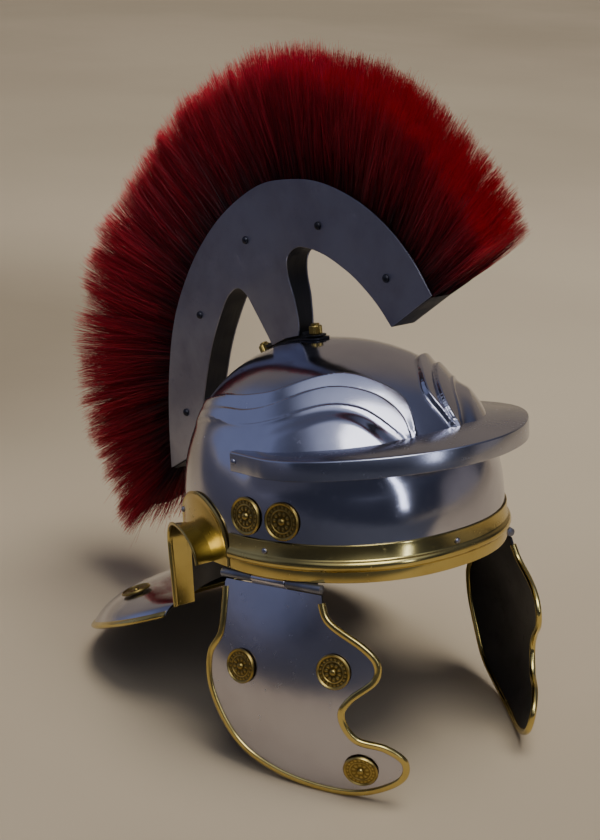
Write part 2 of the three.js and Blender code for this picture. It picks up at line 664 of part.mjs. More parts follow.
/** A dished rosette with a raised rim and a centre boss. */
function makeRosette(radius) {
  const h = ROSETTE.thick;
  return turned([[0, 0], [radius, 0], [radius * 0.9, h], [radius * 0.72, h * 0.55], [0, h * 1.5]], 12);
}

const domedHead = (radius) => turned([[0, 0], [radius, 0], [radius * 0.8, radius * 0.45], [0, radius * 0.7]], 8);

/** Adds a turned piece on the skin at an angle and row, and its mirror image. */
function addPairOnSkin(name, geometry, material, theta, v, out) {
  const piece = standOn(geometry, offSkin(theta, v, out), skinNormal(theta, v));
  addPart(`${name}_left`, piece, material);
  addPart(`${name}_right`, mirrored(piece), material);
}

/** Adds a piece made for the right side, and its mirror image. */
function addPair(name, geometry, material) {
  addPart(`${name}_right`, geometry, material);
  addPart(`${name}_left`, mirrored(geometry), material);
}

/** The row of the skin at a height above the rim. */
function rowAtHeight(z) {
  if (z <= BOWL.wallTop) return 2 - z / BOWL.wallTop;
  const rise = ((z - BOWL.wallTop) / (BOWL.height - BOWL.wallTop)) ** (BOWL.domePower / 2);
  return 1 - Math.asin(rise) / (Math.PI / 2);
}

// ---------------------------------------------------------------- assembly

addPart('bowl', makeBowl(), polishedSteel);
addPart('rim_band', makeRimBand(), brass);
addPart('brow_guard', makeBrowGuard(), polishedSteel);
addPart('neck_edging', makeNeckEdging(), brass);
const earGuard = makeEarGuard();
addPart('ear_guard_left', earGuard, brass);
addPart('ear_guard_right', mirrored(earGuard), brass);
addPair('cheek_guard', makeCheekPlate(), polishedSteel);
addPair('cheek_edging', makeCheekEdging(), brass);
addPair('hinge_leaf', makeHingeLeaf(), darkSteel);
addPair('hinge_pin', makeHingePin(), darkSteel);

const crestPlate = makeCrestPlate();
addPart('crest_plate_left', crestPlate, satinSteel);
addPart('crest_plate_right', mirrored(crestPlate), satinSteel);
addPart('crest_core', makeCrestCore(), blackCore);
addPart('crest_holder', makeCrestHolder(), blackCore);
addPart('plume', makePlume(), redHair);
RIVETS_ON_CREST.forEach((place, i) => addPart(`crest_rivet_${i + 1}`, makeCrestRivet(place), satinSteel));
[['front', 11], ['rear', 74]].forEach(([end, y]) => {
  const { point, way } = strapSeat(y);
  const washer = turned([[0, 0], [6, 0], [6, 1], [0, 1]], 12);
  const nut = turned([[0, 0], [4, 0], [4, 5], [3, 6], [0, 6.5]], 12);
  addPart(`crest_washer_${end}`, standOn(washer, point, way), darkSteel);
  addPart(`crest_nut_${end}`, standOn(nut, point.clone().addScaledVector(way, 1 + GAP), way), brass);
});

const bandFace = GAP * 2 + BAND.thick;
addPairOnSkin('bowl_rosette_rear', makeRosette(ROSETTE.bowl), brass, rimAngle(-31), rowAtHeight(37), GAP);
addPairOnSkin('bowl_rosette_front', makeRosette(ROSETTE.bowl), brass, rimAngle(-58.5), rowAtHeight(37), GAP);
addPairOnSkin('neck_rosette', makeRosette(ROSETTE.neck), brass, 1.017, 3.44, GAP * 3);
addPairOnSkin('rim_rivet_side', domedHead(1.9), satinSteel, rimAngle(-46), rowAtHeight(16.5), bandFace);
addPairOnSkin('ear_rivet', domedHead(1.9), satinSteel, rimAngle(56), rowAtHeight(22), GAP * 2 + 1);
addPart('rim_rivet_front', standOn(domedHead(1.9), offSkin(-Math.PI / 2, rowAtHeight(16.5), bandFace),
  skinNormal(-Math.PI / 2, 1.4)), satinSteel);
[['rear', -17, 56], ['front', 51, 50], ['chin', 62, 118]].forEach(([place, s, d]) => {
  const piece = standOn(makeRosette(ROSETTE.cheek), cheekPoint(s, d, 0.75), cheekNormal(s, d));
  addPair(`cheek_rosette_${place}`, piece, brass);
});
const browRivet = standOn(domedHead(2), new THREE.Vector3(-98.3 - GAP, -19.5, 70.5), new THREE.Vector3(-1, 0, 0));
addPair('brow_rivet', browRivet, satinSteel);

// The whole helmet stands on z = 0 with the middle of its box over the origin.
const part = new THREE.Group();
part.add(helmet);
part.updateMatrixWorld(true);
const box = new THREE.Box3().setFromObject(part, true);
helmet.position.set(-(box.min.x + box.max.x) / 2, -(box.min.y + box.max.y) / 2, -box.min.z);

export default part;
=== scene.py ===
"""Roman legionary helmet with a horsehair crest: its visual model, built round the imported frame.

Shapes are worked out in the helmet's own frame, in millimetres: -Y is the front, +X the wearer's left,
and z = 0 is the plane of the rim. Bench.finish moves each piece into the row frame, in metres.
"""

import json
import logging
import math
from dataclasses import dataclass
from enum import Enum
from typing import Any, Callable, Optional, Sequence, Union

import bmesh
import bpy
import numpy as np
from mathutils import Matrix, Vector

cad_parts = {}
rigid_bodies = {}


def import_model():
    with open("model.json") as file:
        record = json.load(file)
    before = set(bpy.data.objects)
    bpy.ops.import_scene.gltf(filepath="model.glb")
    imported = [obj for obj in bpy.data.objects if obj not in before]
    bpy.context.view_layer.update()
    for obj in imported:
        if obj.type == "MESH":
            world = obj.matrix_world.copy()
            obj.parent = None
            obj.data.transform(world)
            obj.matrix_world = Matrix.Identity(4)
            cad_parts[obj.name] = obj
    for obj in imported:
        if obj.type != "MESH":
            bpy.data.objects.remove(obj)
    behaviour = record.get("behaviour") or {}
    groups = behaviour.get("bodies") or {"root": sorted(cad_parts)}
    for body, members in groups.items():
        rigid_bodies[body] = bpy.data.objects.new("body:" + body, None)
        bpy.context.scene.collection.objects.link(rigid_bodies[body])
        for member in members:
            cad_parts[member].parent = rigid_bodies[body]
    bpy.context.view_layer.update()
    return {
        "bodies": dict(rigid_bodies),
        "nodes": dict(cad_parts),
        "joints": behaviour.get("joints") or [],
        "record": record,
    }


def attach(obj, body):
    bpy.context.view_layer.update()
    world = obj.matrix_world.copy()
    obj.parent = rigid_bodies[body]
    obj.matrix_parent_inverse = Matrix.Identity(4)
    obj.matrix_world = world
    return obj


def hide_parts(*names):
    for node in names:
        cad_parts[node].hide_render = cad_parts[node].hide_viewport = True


log = logging.getLogger("helmet")
Points = Sequence[tuple[float, float]]
Span = tuple[float, float]
Colour = tuple[float, float, float, float]


class Side(Enum):
    """The wearer's side that a paired piece sits on, as the sign of its x."""

    RIGHT = -1.0
    LEFT = 1.0

    @property
    def word(self) -> str:
        """The side as a piece's name has it."""
        return self.name.lower()

    @property
    def cheek(self) -> str:
        """The body that the side's cheek guard moves with."""
        return f"cheek_{self.word}"


# ---------------------------------------------------------------- shader graph


class Val:
    """A shader socket that takes part in Python arithmetic."""

    def __init__(self, graph: "Graph", socket: bpy.types.NodeSocket) -> None:
        """Wraps one output socket of a graph."""
        self.graph = graph
        self.socket = socket

    def _math(self, operation: str, *values: Any) -> "Val":
        """One Math node on these values."""
        return self.graph.node("ShaderNodeMath", {"operation": operation}, dict(enumerate(values)))

    def __add__(self, other: Any) -> "Val":
        """Sum."""
        return self._math("ADD", self, other)

    __radd__ = __add__

    def __sub__(self, other: Any) -> "Val":
        """Difference."""
        return self._math("SUBTRACT", self, other)

    def __rsub__(self, other: Any) -> "Val":
        """Difference from a number."""
        return self._math("SUBTRACT", other, self)

    def __mul__(self, other: Any) -> "Val":
        """Product."""
        return self._math("MULTIPLY", self, other)

    __rmul__ = __mul__

    def step(self, low: float, high: float) -> "Val":
        """A smooth rise from 0 at low to 1 at high."""
        return self.graph.node("ShaderNodeMapRange", {"interpolation_type": "SMOOTHSTEP"},
                               {"Value": self, "From Min": low, "From Max": high})


class Graph:
    """The node tree of one material or of the world."""

    def __init__(self, owner: Union[bpy.types.Material, bpy.types.World]) -> None:
        """Empties the owner's tree and starts it again."""
        owner.use_nodes = True
        self.tree = owner.node_tree
        self.tree.nodes.clear()

    def node(self, kind: str, settings: Optional[dict] = None, inputs: Optional[dict] = None,
             out: Union[int, str] = 0) -> Val:
        """Adds a node.

        Args:
            kind: The node's type.
            settings: Its properties, set before its sockets; "stops" are a ramp's positions and colours.
            inputs: Values or links by socket name or index.
            out: The output to return.

        Returns:
            The chosen output, or the node's first one.
        """
        made = self.tree.nodes.new(kind)
        for key, value in (settings or {}).items():
            if key == "stops":
                ramp = made.color_ramp
                while len(ramp.elements) < len(value):
                    ramp.elements.new(1.0)
                for element, (place, colour) in zip(ramp.elements, value):
                    element.position = place
                    element.color = colour
            else:
                setattr(made, key, value)
        for key, value in (inputs or {}).items():
            if isinstance(value, Val):
                self.tree.links.new(value.socket, made.inputs[key])
            else:
                made.inputs[key].default_value = value
        return Val(self, made.outputs[out] if made.outputs else made.inputs[0])

    def place(self) -> Val:
        """Object coordinates, in metres."""
        return self.node("ShaderNodeTexCoord", out="Object")

    def noise(self, place: Val, scale: float, detail: float = 3.0, stretch: tuple = (1, 1, 1)) -> Val:
        """Cloudy noise.

        Args:
            place: Where it is read.
            scale: Its cycles per metre.
            detail: How many finer layers it has.
            stretch: A factor by axis; the noise is drawn out where it is low.

        Returns:
            A number about 0.5.
        """
        if stretch != (1, 1, 1):
            place = self.node("ShaderNodeMapping", None, {"Vector": place, "Scale": stretch})
        return self.node("ShaderNodeTexNoise", None, {"Vector": place, "Scale": scale, "Detail": detail})

    def mix(self, factor: Any, first: Any, second: Any) -> Val:
        """A blend of two colours."""
        settings = {"data_type": "RGBA"}
        return self.node("ShaderNodeMix", settings, {0: factor, 6: first, 7: second}, out=2)

    def tint(self, name: str) -> Val:
        """A number stored on the mesh."""
        return self.node("ShaderNodeAttribute", {"attribute_name": name}, out="Fac")

    def pair(self, operation: str, first: Val, second: tuple) -> Val:
        """A number from two vectors, such as their distance or their dot product."""
        return self.node("ShaderNodeVectorMath", {"operation": operation}, {0: first, 1: second}, out="Value")

    def bump(self, strength: float, distance: float, height: Val) -> Val:
        """The directions of a surface that a height makes uneven."""
        return self.node("ShaderNodeBump", None,
                         {"Strength": strength, "Distance": distance, "Height": height})

    def surface(self, inputs: dict) -> None:
        """Ends a material's tree with one Principled shader."""
        shader = self.node("ShaderNodeBsdfPrincipled", None, inputs)
        self.node("ShaderNodeOutputMaterial", None, {"Surface": shader})


# ---------------------------------------------------------------- finishes


@dataclass(frozen=True)
class Finish:
    """A surface's look, made into a material once."""

    name: str

    def draw(self, g: Graph) -> None:
        """Fills the material's tree."""
        raise NotImplementedError

    def paint(self) -> bpy.types.Material:
        """The finish as a material."""
        made = bpy.data.materials.new(self.name)
        self.draw(Graph(made))
        return made


@dataclass(frozen=True)
class Metal(Finish):
    """A polished or satin metal with cloudy tarnish, fine scratches and a slightly uneven surface."""

    colour: Colour
    tarnish: Colour
    roughness: float
    spread: float = 0.12
    clouds: float = 0.5
    ripple: float = 0.08
    brushed: float = 0.12
    dents: float = 1.0
    hollow: bool = False

    def draw(self, g: Graph) -> None:
        """Fills the material's tree."""
        place = g.place()
        cloud = g.noise(place, 16.0, 5.0)
        hair = g.noise(place, 420.0, 2.0, (0.08, 1.0, 1.0)) + g.noise(place, 380.0, 2.0, (1.0, 0.1, 0.25))
        scratch = hair.step(1.12, 1.5)
        specks = g.noise(place, 60.0, 4.0)
        dull = cloud.step(0.35, 0.7) * self.clouds + specks.step(0.45, 0.8) * self.clouds * 0.3
        colour = g.mix(dull, self.colour, self.tarnish)
        if self.hollow:
            colour = g.mix(g.tint("hollow"), colour, tuple(0.55 * c for c in self.tarnish[:3]) + (1.0,))
        rough = self.roughness + cloud.step(0.3, 0.75) * self.spread + scratch * self.brushed
        dents = g.noise(place, 28.0, 2.0) * self.dents + g.noise(place, 150.0, 2.0) * 0.05
        fine = hair * 0.02 * self.brushed
        bump = g.bump(self.ripple, 0.004, dents + fine)
        g.surface({"Base Color": colour, "Metallic": 1.0, "Roughness": rough, "Normal": bump})


@dataclass(frozen=True)
class Lacquer(Finish):
    """A dark painted or oiled surface with a dull, slightly grained skin."""

    colour: Colour
    worn: Colour
    roughness: float
    grain: float = 0.5

    def draw(self, g: Graph) -> None:
        """Fills the material's tree."""
        place = g.place()
        cloud = g.noise(place, 45.0, 5.0).step(0.4, 0.75)
        grain = g.noise(place, 260.0, 3.0, (1.0, 0.15, 0.15))
        colour = g.mix(cloud * 0.6 + grain * 0.3, self.colour, self.worn)
        bump = g.bump(self.grain, 0.0006, grain)
        g.surface({"Base Color": colour, "Roughness": self.roughness + cloud * 0.2, "Normal": bump})


@dataclass(frozen=True)
class Horsehair(Finish):
    """Dyed hair, dark at the roots and bright at the tips, each strand a little different: the dark roots are
    painted shade deep in the hair and the bright tips are painted light.
    """

    root: Colour
    middle: Colour
    tip: Colour
    roughness: float = 0.5
    sheen: float = 0.03

    def draw(self, g: Graph) -> None:
        """Fills the material's tree."""
        along = g.tint("along")
        shade = g.tint("shade")
        # The ramp runs from the roots' painted shade to the tips' painted light.
        ramp = {"stops": ((0.0, self.root), (0.42, self.middle), (1.0, self.tip))}
        colour = g.node("ShaderNodeValToRGB", ramp, {"Fac": along + (shade - 0.5) * 0.55})
        g.surface({"Base Color": colour, "Roughness": self.roughness, "Specular IOR Level": 0.25,
                   "Sheen Weight": self.sheen, "Sheen Roughness": 0.4, "Sheen Tint": self.tip})


@dataclass(frozen=True)
class Paper(Finish):
    """The pale paper that the helmet stands on, softly creased, with painted light and shade: dimmer away
    from a painted pool of light and under a painted shadow behind at the left, and a floor painted dark past
    its front and left edges for the metal to reflect as an unlit room.
    """

    colour: Colour
    shade: Colour
    # The painted dark floor past the paper, standing for the unlit room that the metal reflects; lighter and
    # bluer towards the left.
    table: Colour = (0.045, 0.047, 0.062, 1)
    left: Colour = (0.085, 0.083, 0.11, 1)

    def draw(self, g: Graph) -> None:
        """Fills the material's tree."""
        place = g.place()
        cloud = g.noise(place, 1.3, 3.0).step(0.3, 0.7)
        # Painted light and shade: the paper dims with distance from a painted pool of light at (0.9, 0.2) and
        # under a painted shadow round (0.15, 0.85); the cloud noise adds random tone.
        away = g.pair("DISTANCE", place, (0.9, 0.2, 0.0))
        behind = g.pair("DISTANCE", place, (0.15, 0.85, 0.0))
        dim = away.step(0.1, 1.7) * 0.5 + away.step(1.2, 3.5) * 0.35 + behind.step(0.6, 0.1) * 0.65
        lit = g.mix(dim + cloud * 0.2, self.colour, self.shade)
        # Past the paper's front and left edges the floor is painted dark, for the metal to reflect as an
        # unlit room.
        left = g.pair("DOT_PRODUCT", place, (-1.0, 0.0, 0.0))
        front = g.pair("DOT_PRODUCT", place, (-0.82, -0.57, 0.0))
        table = g.mix((left - front).step(0.05, 0.5), self.table, self.left)
        paper = (1 - left.step(0.28, 0.42)) * (1 - front.step(0.31, 0.47))
        lit = g.mix(paper, table, lit)
        creases = g.noise(place, 2.2, 2.0, (1.0, 0.55, 1.0)) + g.noise(place, 9.0, 2.0) * 0.12
        g.surface({"Base Color": lit, "Roughness": 0.75, "Normal": g.bump(0.25, 0.08, creases)})


@dataclass(frozen=True)
class Finishes:
    """Every finish on the helmet."""

    steel: Metal = Metal("polished_steel", (0.56, 0.56, 0.63, 1), (0.44, 0.43, 0.50, 1), 0.13, 0.07)
    flat: Metal = Metal("flat_steel", (0.50, 0.51, 0.58, 1), (0.38, 0.38, 0.45, 1), 0.19, 0.07, dents=0.3)
    satin: Metal = Metal("satin_steel", (0.37, 0.37, 0.44, 1), (0.23, 0.22, 0.27, 1), 0.34, 0.12, clouds=0.8,
                         ripple=0.1, brushed=0.3)
    cheek: Metal = Metal("cheek_steel", (0.56, 0.55, 0.61, 1), (0.44, 0.41, 0.45, 1), 0.17, 0.08)
    # Near-black steel: on the inner faces of the bowl and the cheek guards it is painted shade; the crest's
    # rivet heads, strap and washers take it as their dark colour.
    inner: Metal = Metal("inner_steel", (0.06, 0.06, 0.07, 1), (0.03, 0.028, 0.03, 1), 0.42, 0.15)
    brass: Metal = Metal("brass", (0.68, 0.55, 0.19, 1), (0.42, 0.29, 0.08, 1), 0.15, 0.1, clouds=0.6,
                         hollow=True)
    old_brass: Metal = Metal("old_brass", (0.50, 0.37, 0.11, 1), (0.28, 0.19, 0.05, 1), 0.27, 0.1,
                             clouds=0.7, hollow=True)
    dark: Metal = Metal("dark_steel", (0.40, 0.41, 0.48, 1), (0.07, 0.07, 0.08, 1), 0.3, 0.2, 0.8)
    black: Lacquer = Lacquer("black_wood", (0.006, 0.006, 0.008, 1), (0.015, 0.013, 0.016, 1), 0.5)
    hair: Horsehair = Horsehair("red_horsehair", (0.024, 0.0008, 0.002, 1), (0.30, 0.008, 0.018, 1),
                                (0.84, 0.026, 0.058, 1))


# ---------------------------------------------------------------- mesh helpers


def smooth(x: Any, low: float, high: float) -> Any:
    """A smooth rise from 0 at low to 1 at high; high may be the lower."""
    t = np.clip((x - low) / (high - low), 0.0, 1.0)
    return t * t * (3 - 2 * t)


def bearing(azimuth: float, elevation: float) -> Vector:
    """The direction at an azimuth and a height in degrees; 0 is before the helmet and 90 at its left."""
    a, e = math.radians(azimuth), math.radians(elevation)
    return Vector((math.sin(a) * math.cos(e), -math.cos(a) * math.cos(e), math.sin(e)))


def read(line: np.ndarray, at: np.ndarray, marks: np.ndarray) -> np.ndarray:
    """Places on a line of points, which stand at marks."""
    return np.column_stack([np.interp(at, marks, column) for column in line.T])


def evenly(line: np.ndarray, count: int) -> np.ndarray:
    """Evenly spaced places along a line of points."""
    run = np.r_[0, np.cumsum(np.linalg.norm(np.diff(line, axis=0), axis=1))]
    return read(line, np.linspace(0, run[-1], count), run)


def spline(points: Sequence[Sequence[float]], count: int) -> np.ndarray:
    """A smooth curve through points.

    Args:
        points: Two or more places of any dimension.
        count: How many places the curve gets.

    Returns:
        The curve's places, one a row, about evenly spaced.
    """
    p = np.array(points, float)
    p = np.vstack([2 * p[:1] - p[1:2], p, 2 * p[-1:] - p[-2:-1]])
    parts = []
    for a, b, c, d in zip(p[:-3], p[1:-2], p[2:-1], p[3:]):
        t = np.linspace(0, 1, 24, endpoint=False)[:, None]
        parts.append(0.5 * (2 * b + (c - a) * t + (2 * a - 5 * b + 4 * c - d) * t**2
                            + (3 * b - a - 3 * c + d) * t**3))
    return evenly(np.vstack(parts + [p[-2:-1]]), count)


def warp(bm: bmesh.types.BMesh, move: Callable[[np.ndarray], np.ndarray]) -> bmesh.types.BMesh:
    """Moves every vertex.

    Args:
        bm: The mesh.
        move: Takes all places as rows and returns the new ones.

    Returns:
        The same mesh.
    """
    places = move(np.array([v.co for v in bm.verts], float).reshape(-1, 3))
    for vertex, place in zip(bm.verts, places):
        vertex.co = place
    return bm


def grid(across: int, down: int, shape: Callable[[np.ndarray, np.ndarray], np.ndarray],
         finer: Optional[Callable[[float, float], bool]] = None) -> bmesh.types.BMesh:
    """A sheet of quads laid on a surface.

    Args:
        across: Faces along the first parameter.
        down: Faces along the second.
        shape: Takes both parameters, each 0 to 1, and returns the places.
        finer: Says from a face's parameters whether it is to be cut in four.

    Returns:
        The sheet, with its doubled edges and poles merged.
    """
    bm = bmesh.new()
    bmesh.ops.create_grid(bm, x_segments=across, y_segments=down, size=1.0)
    if finer:
        middles = ((f, (f.calc_center_median() + Vector((1, 1, 0))) / 2) for f in bm.faces)
        edges = {e for f, middle in middles if finer(middle.x, middle.y) for e in f.edges}
        bmesh.ops.subdivide_edges(bm, edges=list(edges), cuts=1, use_grid_fill=True)
    warp(bm, lambda p: shape((p[:, 0] + 1) / 2, (p[:, 1] + 1) / 2))
    bmesh.ops.remove_doubles(bm, verts=bm.verts, dist=1e-3)
    return bm


def sweep(rings: np.ndarray) -> bmesh.types.BMesh:
    """A closed tube through rings.

    Args:
        rings: Places by station and by point of the section, which closes on itself.

    Returns:
        The tube, with its ends filled.
    """
    stations, around = rings.shape[:2]
    looped = np.concatenate([rings, rings[:, :1]], 1)

    def lay(u: np.ndarray, w: np.ndarray) -> np.ndarray:
        """Reads each ring point."""
        return looped[np.rint(u * (stations - 1)).astype(int), np.rint(w * around).astype(int)]

    bm = grid(stations - 1, around, lay)
    bmesh.ops.holes_fill(bm, edges=[e for e in bm.edges if e.is_boundary], sides=0)
    bmesh.ops.recalc_face_normals(bm, faces=bm.faces)
    return bm


def turned(profile: Points, steps: int) -> bmesh.types.BMesh:
    """A solid turned about Z from its base's centre at z = 0.

    Args:
        profile: Places as [radius, height], from the axis out and back to the axis.
        steps: Faces round the turn.

    Returns:
        The closed solid.
    """
    bm = bmesh.new()
    corners = [bm.verts.new((r, 0, h)) for r, h in profile]
    edges = [bm.edges.new(pair) for pair in zip(corners, corners[1:])]
    bmesh.ops.spin(bm, geom=corners + edges, cent=(0, 0, 0), axis=(0, 0, 1), angle=2 * math.pi,
                   steps=steps, use_merge=True)
    bmesh.ops.remove_doubles(bm, verts=bm.verts, dist=1e-3)
    bmesh.ops.recalc_face_normals(bm, faces=bm.faces)
    return bm


def eased(bm: bmesh.types.BMesh, edges: Sequence[bmesh.types.BMEdge], offset: float) -> None:
    """Rounds edges over a distance."""
    bmesh.ops.bevel(bm, geom=edges, offset=offset, segments=2, profile=0.5, affect="EDGES", material=-1)


def level_edges(bm: bmesh.types.BMesh, axis: int) -> list[bmesh.types.BMEdge]:
    """The edges that lie square to an axis."""
    return [e for e in bm.edges if abs(e.verts[0].co[axis] - e.verts[1].co[axis]) < 1e-6]


def faced(bm: bmesh.types.BMesh, way: Optional[Sequence[float]] = None) -> None:
    """Turns a sheet's faces to a direction, or away from the origin."""
    bmesh.ops.recalc_face_normals(bm, faces=bm.faces)
    if sum(f.normal.dot(f.calc_center_median() if way is None else Vector(way)) for f in bm.faces) < 0:
        bmesh.ops.reverse_faces(bm, faces=bm.faces)


def split(bm: bmesh.types.BMesh, point: Sequence[float], way: Sequence[float]) -> None:
    """Cuts a mesh's faces along a plane and keeps both sides."""
    geom = list(bm.verts) + list(bm.edges) + list(bm.faces)
    bmesh.ops.bisect_plane(bm, geom=geom, plane_co=point, plane_no=way)


def slab(outline: np.ndarray, low: float, high: float, ease: float = 0.0) -> bmesh.types.BMesh:
    """A flat plate drawn in side view.

    Args:
        outline: Its corners as rows of y and z.
        low: Its lower x.
        high: Its upper x.
        ease: The bevel on its long edges.

    Returns:
        The closed plate.
    """
    bm = bmesh.new()
    face = bm.faces.new([bm.verts.new((low, y, z)) for y, z in outline])
    raised = bmesh.ops.extrude_face_region(bm, geom=[face])["geom"]
    corners = [v for v in raised if isinstance(v, bmesh.types.BMVert)]
    bmesh.ops.translate(bm, verts=corners, vec=(high - low, 0, 0))
    bmesh.ops.recalc_face_normals(bm, faces=bm.faces)
    if ease:
        eased(bm, level_edges(bm, 0), ease)
    bmesh.ops.triangulate(bm, faces=[f for f in bm.faces if len(f.verts) > 4])
    return bm


def stand(bm: bmesh.types.BMesh, place: Sequence[float], way: Sequence[float]) -> bmesh.types.BMesh:
    """Moves a turned solid so that its axis points along a direction."""
    turn = Vector((0, 0, 1)).rotation_difference(Vector(way)).to_matrix().to_4x4()
    bmesh.ops.transform(bm, matrix=Matrix.Translation(Vector(place)) @ turn, verts=bm.verts)
    return bm


def joined(parts: Sequence[bmesh.types.BMesh]) -> bmesh.types.BMesh:
    """Several meshes as one, the first of which is kept."""
    whole = parts[0]
    for part in parts[1:]:
        carrier = bpy.data.meshes.new("carrier")
        part.to_mesh(carrier)
        whole.from_mesh(carrier)
        bpy.data.meshes.remove(carrier)
        part.free()
    return whole


def unit(v: np.ndarray) -> np.ndarray:
    """Vectors of length 1, by row."""
    return v / np.maximum(np.linalg.norm(v, axis=-1, keepdims=True), 1e-9)


def mirrored(bm: bmesh.types.BMesh, side: Side) -> bmesh.types.BMesh:
    """A mesh made for the left side, turned over for the right."""
    if side is Side.RIGHT:
        bmesh.ops.scale(bm, vec=(-1, 1, 1), verts=bm.verts)
        bmesh.ops.reverse_faces(bm, faces=bm.faces)
    return bm


def placed(name: str, data: Any, matrix: Optional[Matrix] = None) -> bpy.types.Object:
    """An object in the scene."""
    made = bpy.data.objects.new(name, data)
    bpy.context.scene.collection.objects.link(made)
    if matrix:
        made.matrix_world = matrix
    return made


# ---------------------------------------------------------------- the bench


class Bench:
    """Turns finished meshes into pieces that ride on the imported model."""

    def __init__(self, frame: dict) -> None:
        """Reads where the helmet's own frame lies; the materials are made later, as each is first asked for.
        """
        seat = next(m for m in frame["record"]["mounts"] if m["name"] == "head_opening")
        tilt = math.atan2(-seat["axis"][1], -seat["axis"][2])
        self.seat = Matrix.Translation(Vector(seat["pos_m"])) @ Matrix.Rotation(-tilt, 4, "X")
        self.scale = Matrix.Scale(0.001, 4)
        self.painted: dict[str, bpy.types.Material] = {}
        self.count = 0

    def paint(self, finish: Finish) -> bpy.types.Material:
        """The material of a finish, made once."""
        if finish.name not in self.painted:
            self.painted[finish.name] = finish.paint()
        return self.painted[finish.name]

    def finish(self, bm: bmesh.types.BMesh, name: str, finish: Finish, *stands_for: str, body: str = "helmet",
               crease: float = 35.0, inner: Optional[Finish] = None, slot: str = "") -> bpy.types.Object:
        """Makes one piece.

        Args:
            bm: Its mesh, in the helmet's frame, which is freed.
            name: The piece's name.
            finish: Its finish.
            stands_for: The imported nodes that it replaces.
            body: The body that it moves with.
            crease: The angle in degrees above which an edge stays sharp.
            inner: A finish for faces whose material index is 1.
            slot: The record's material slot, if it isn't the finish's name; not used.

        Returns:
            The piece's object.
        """
        mesh = bpy.data.meshes.new(name)
        bm.to_mesh(mesh)
        bm.free()
        mesh.transform(self.seat @ self.scale)
        mesh.shade_smooth()
        mesh.set_sharp_from_angle(angle=math.radians(crease))
        piece = placed(name, mesh)
        for each in [finish] + ([inner] if inner else []):
            mesh.materials.append(self.paint(each))
        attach(piece, body)
        if stands_for:
            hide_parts(*stands_for)
        triangles = sum(len(p.vertices) - 2 for p in mesh.polygons)
        self.count += triangles
        log.info("%s: %d triangles", name, triangles)
        return piece


# ---------------------------------------------------------------- the skin


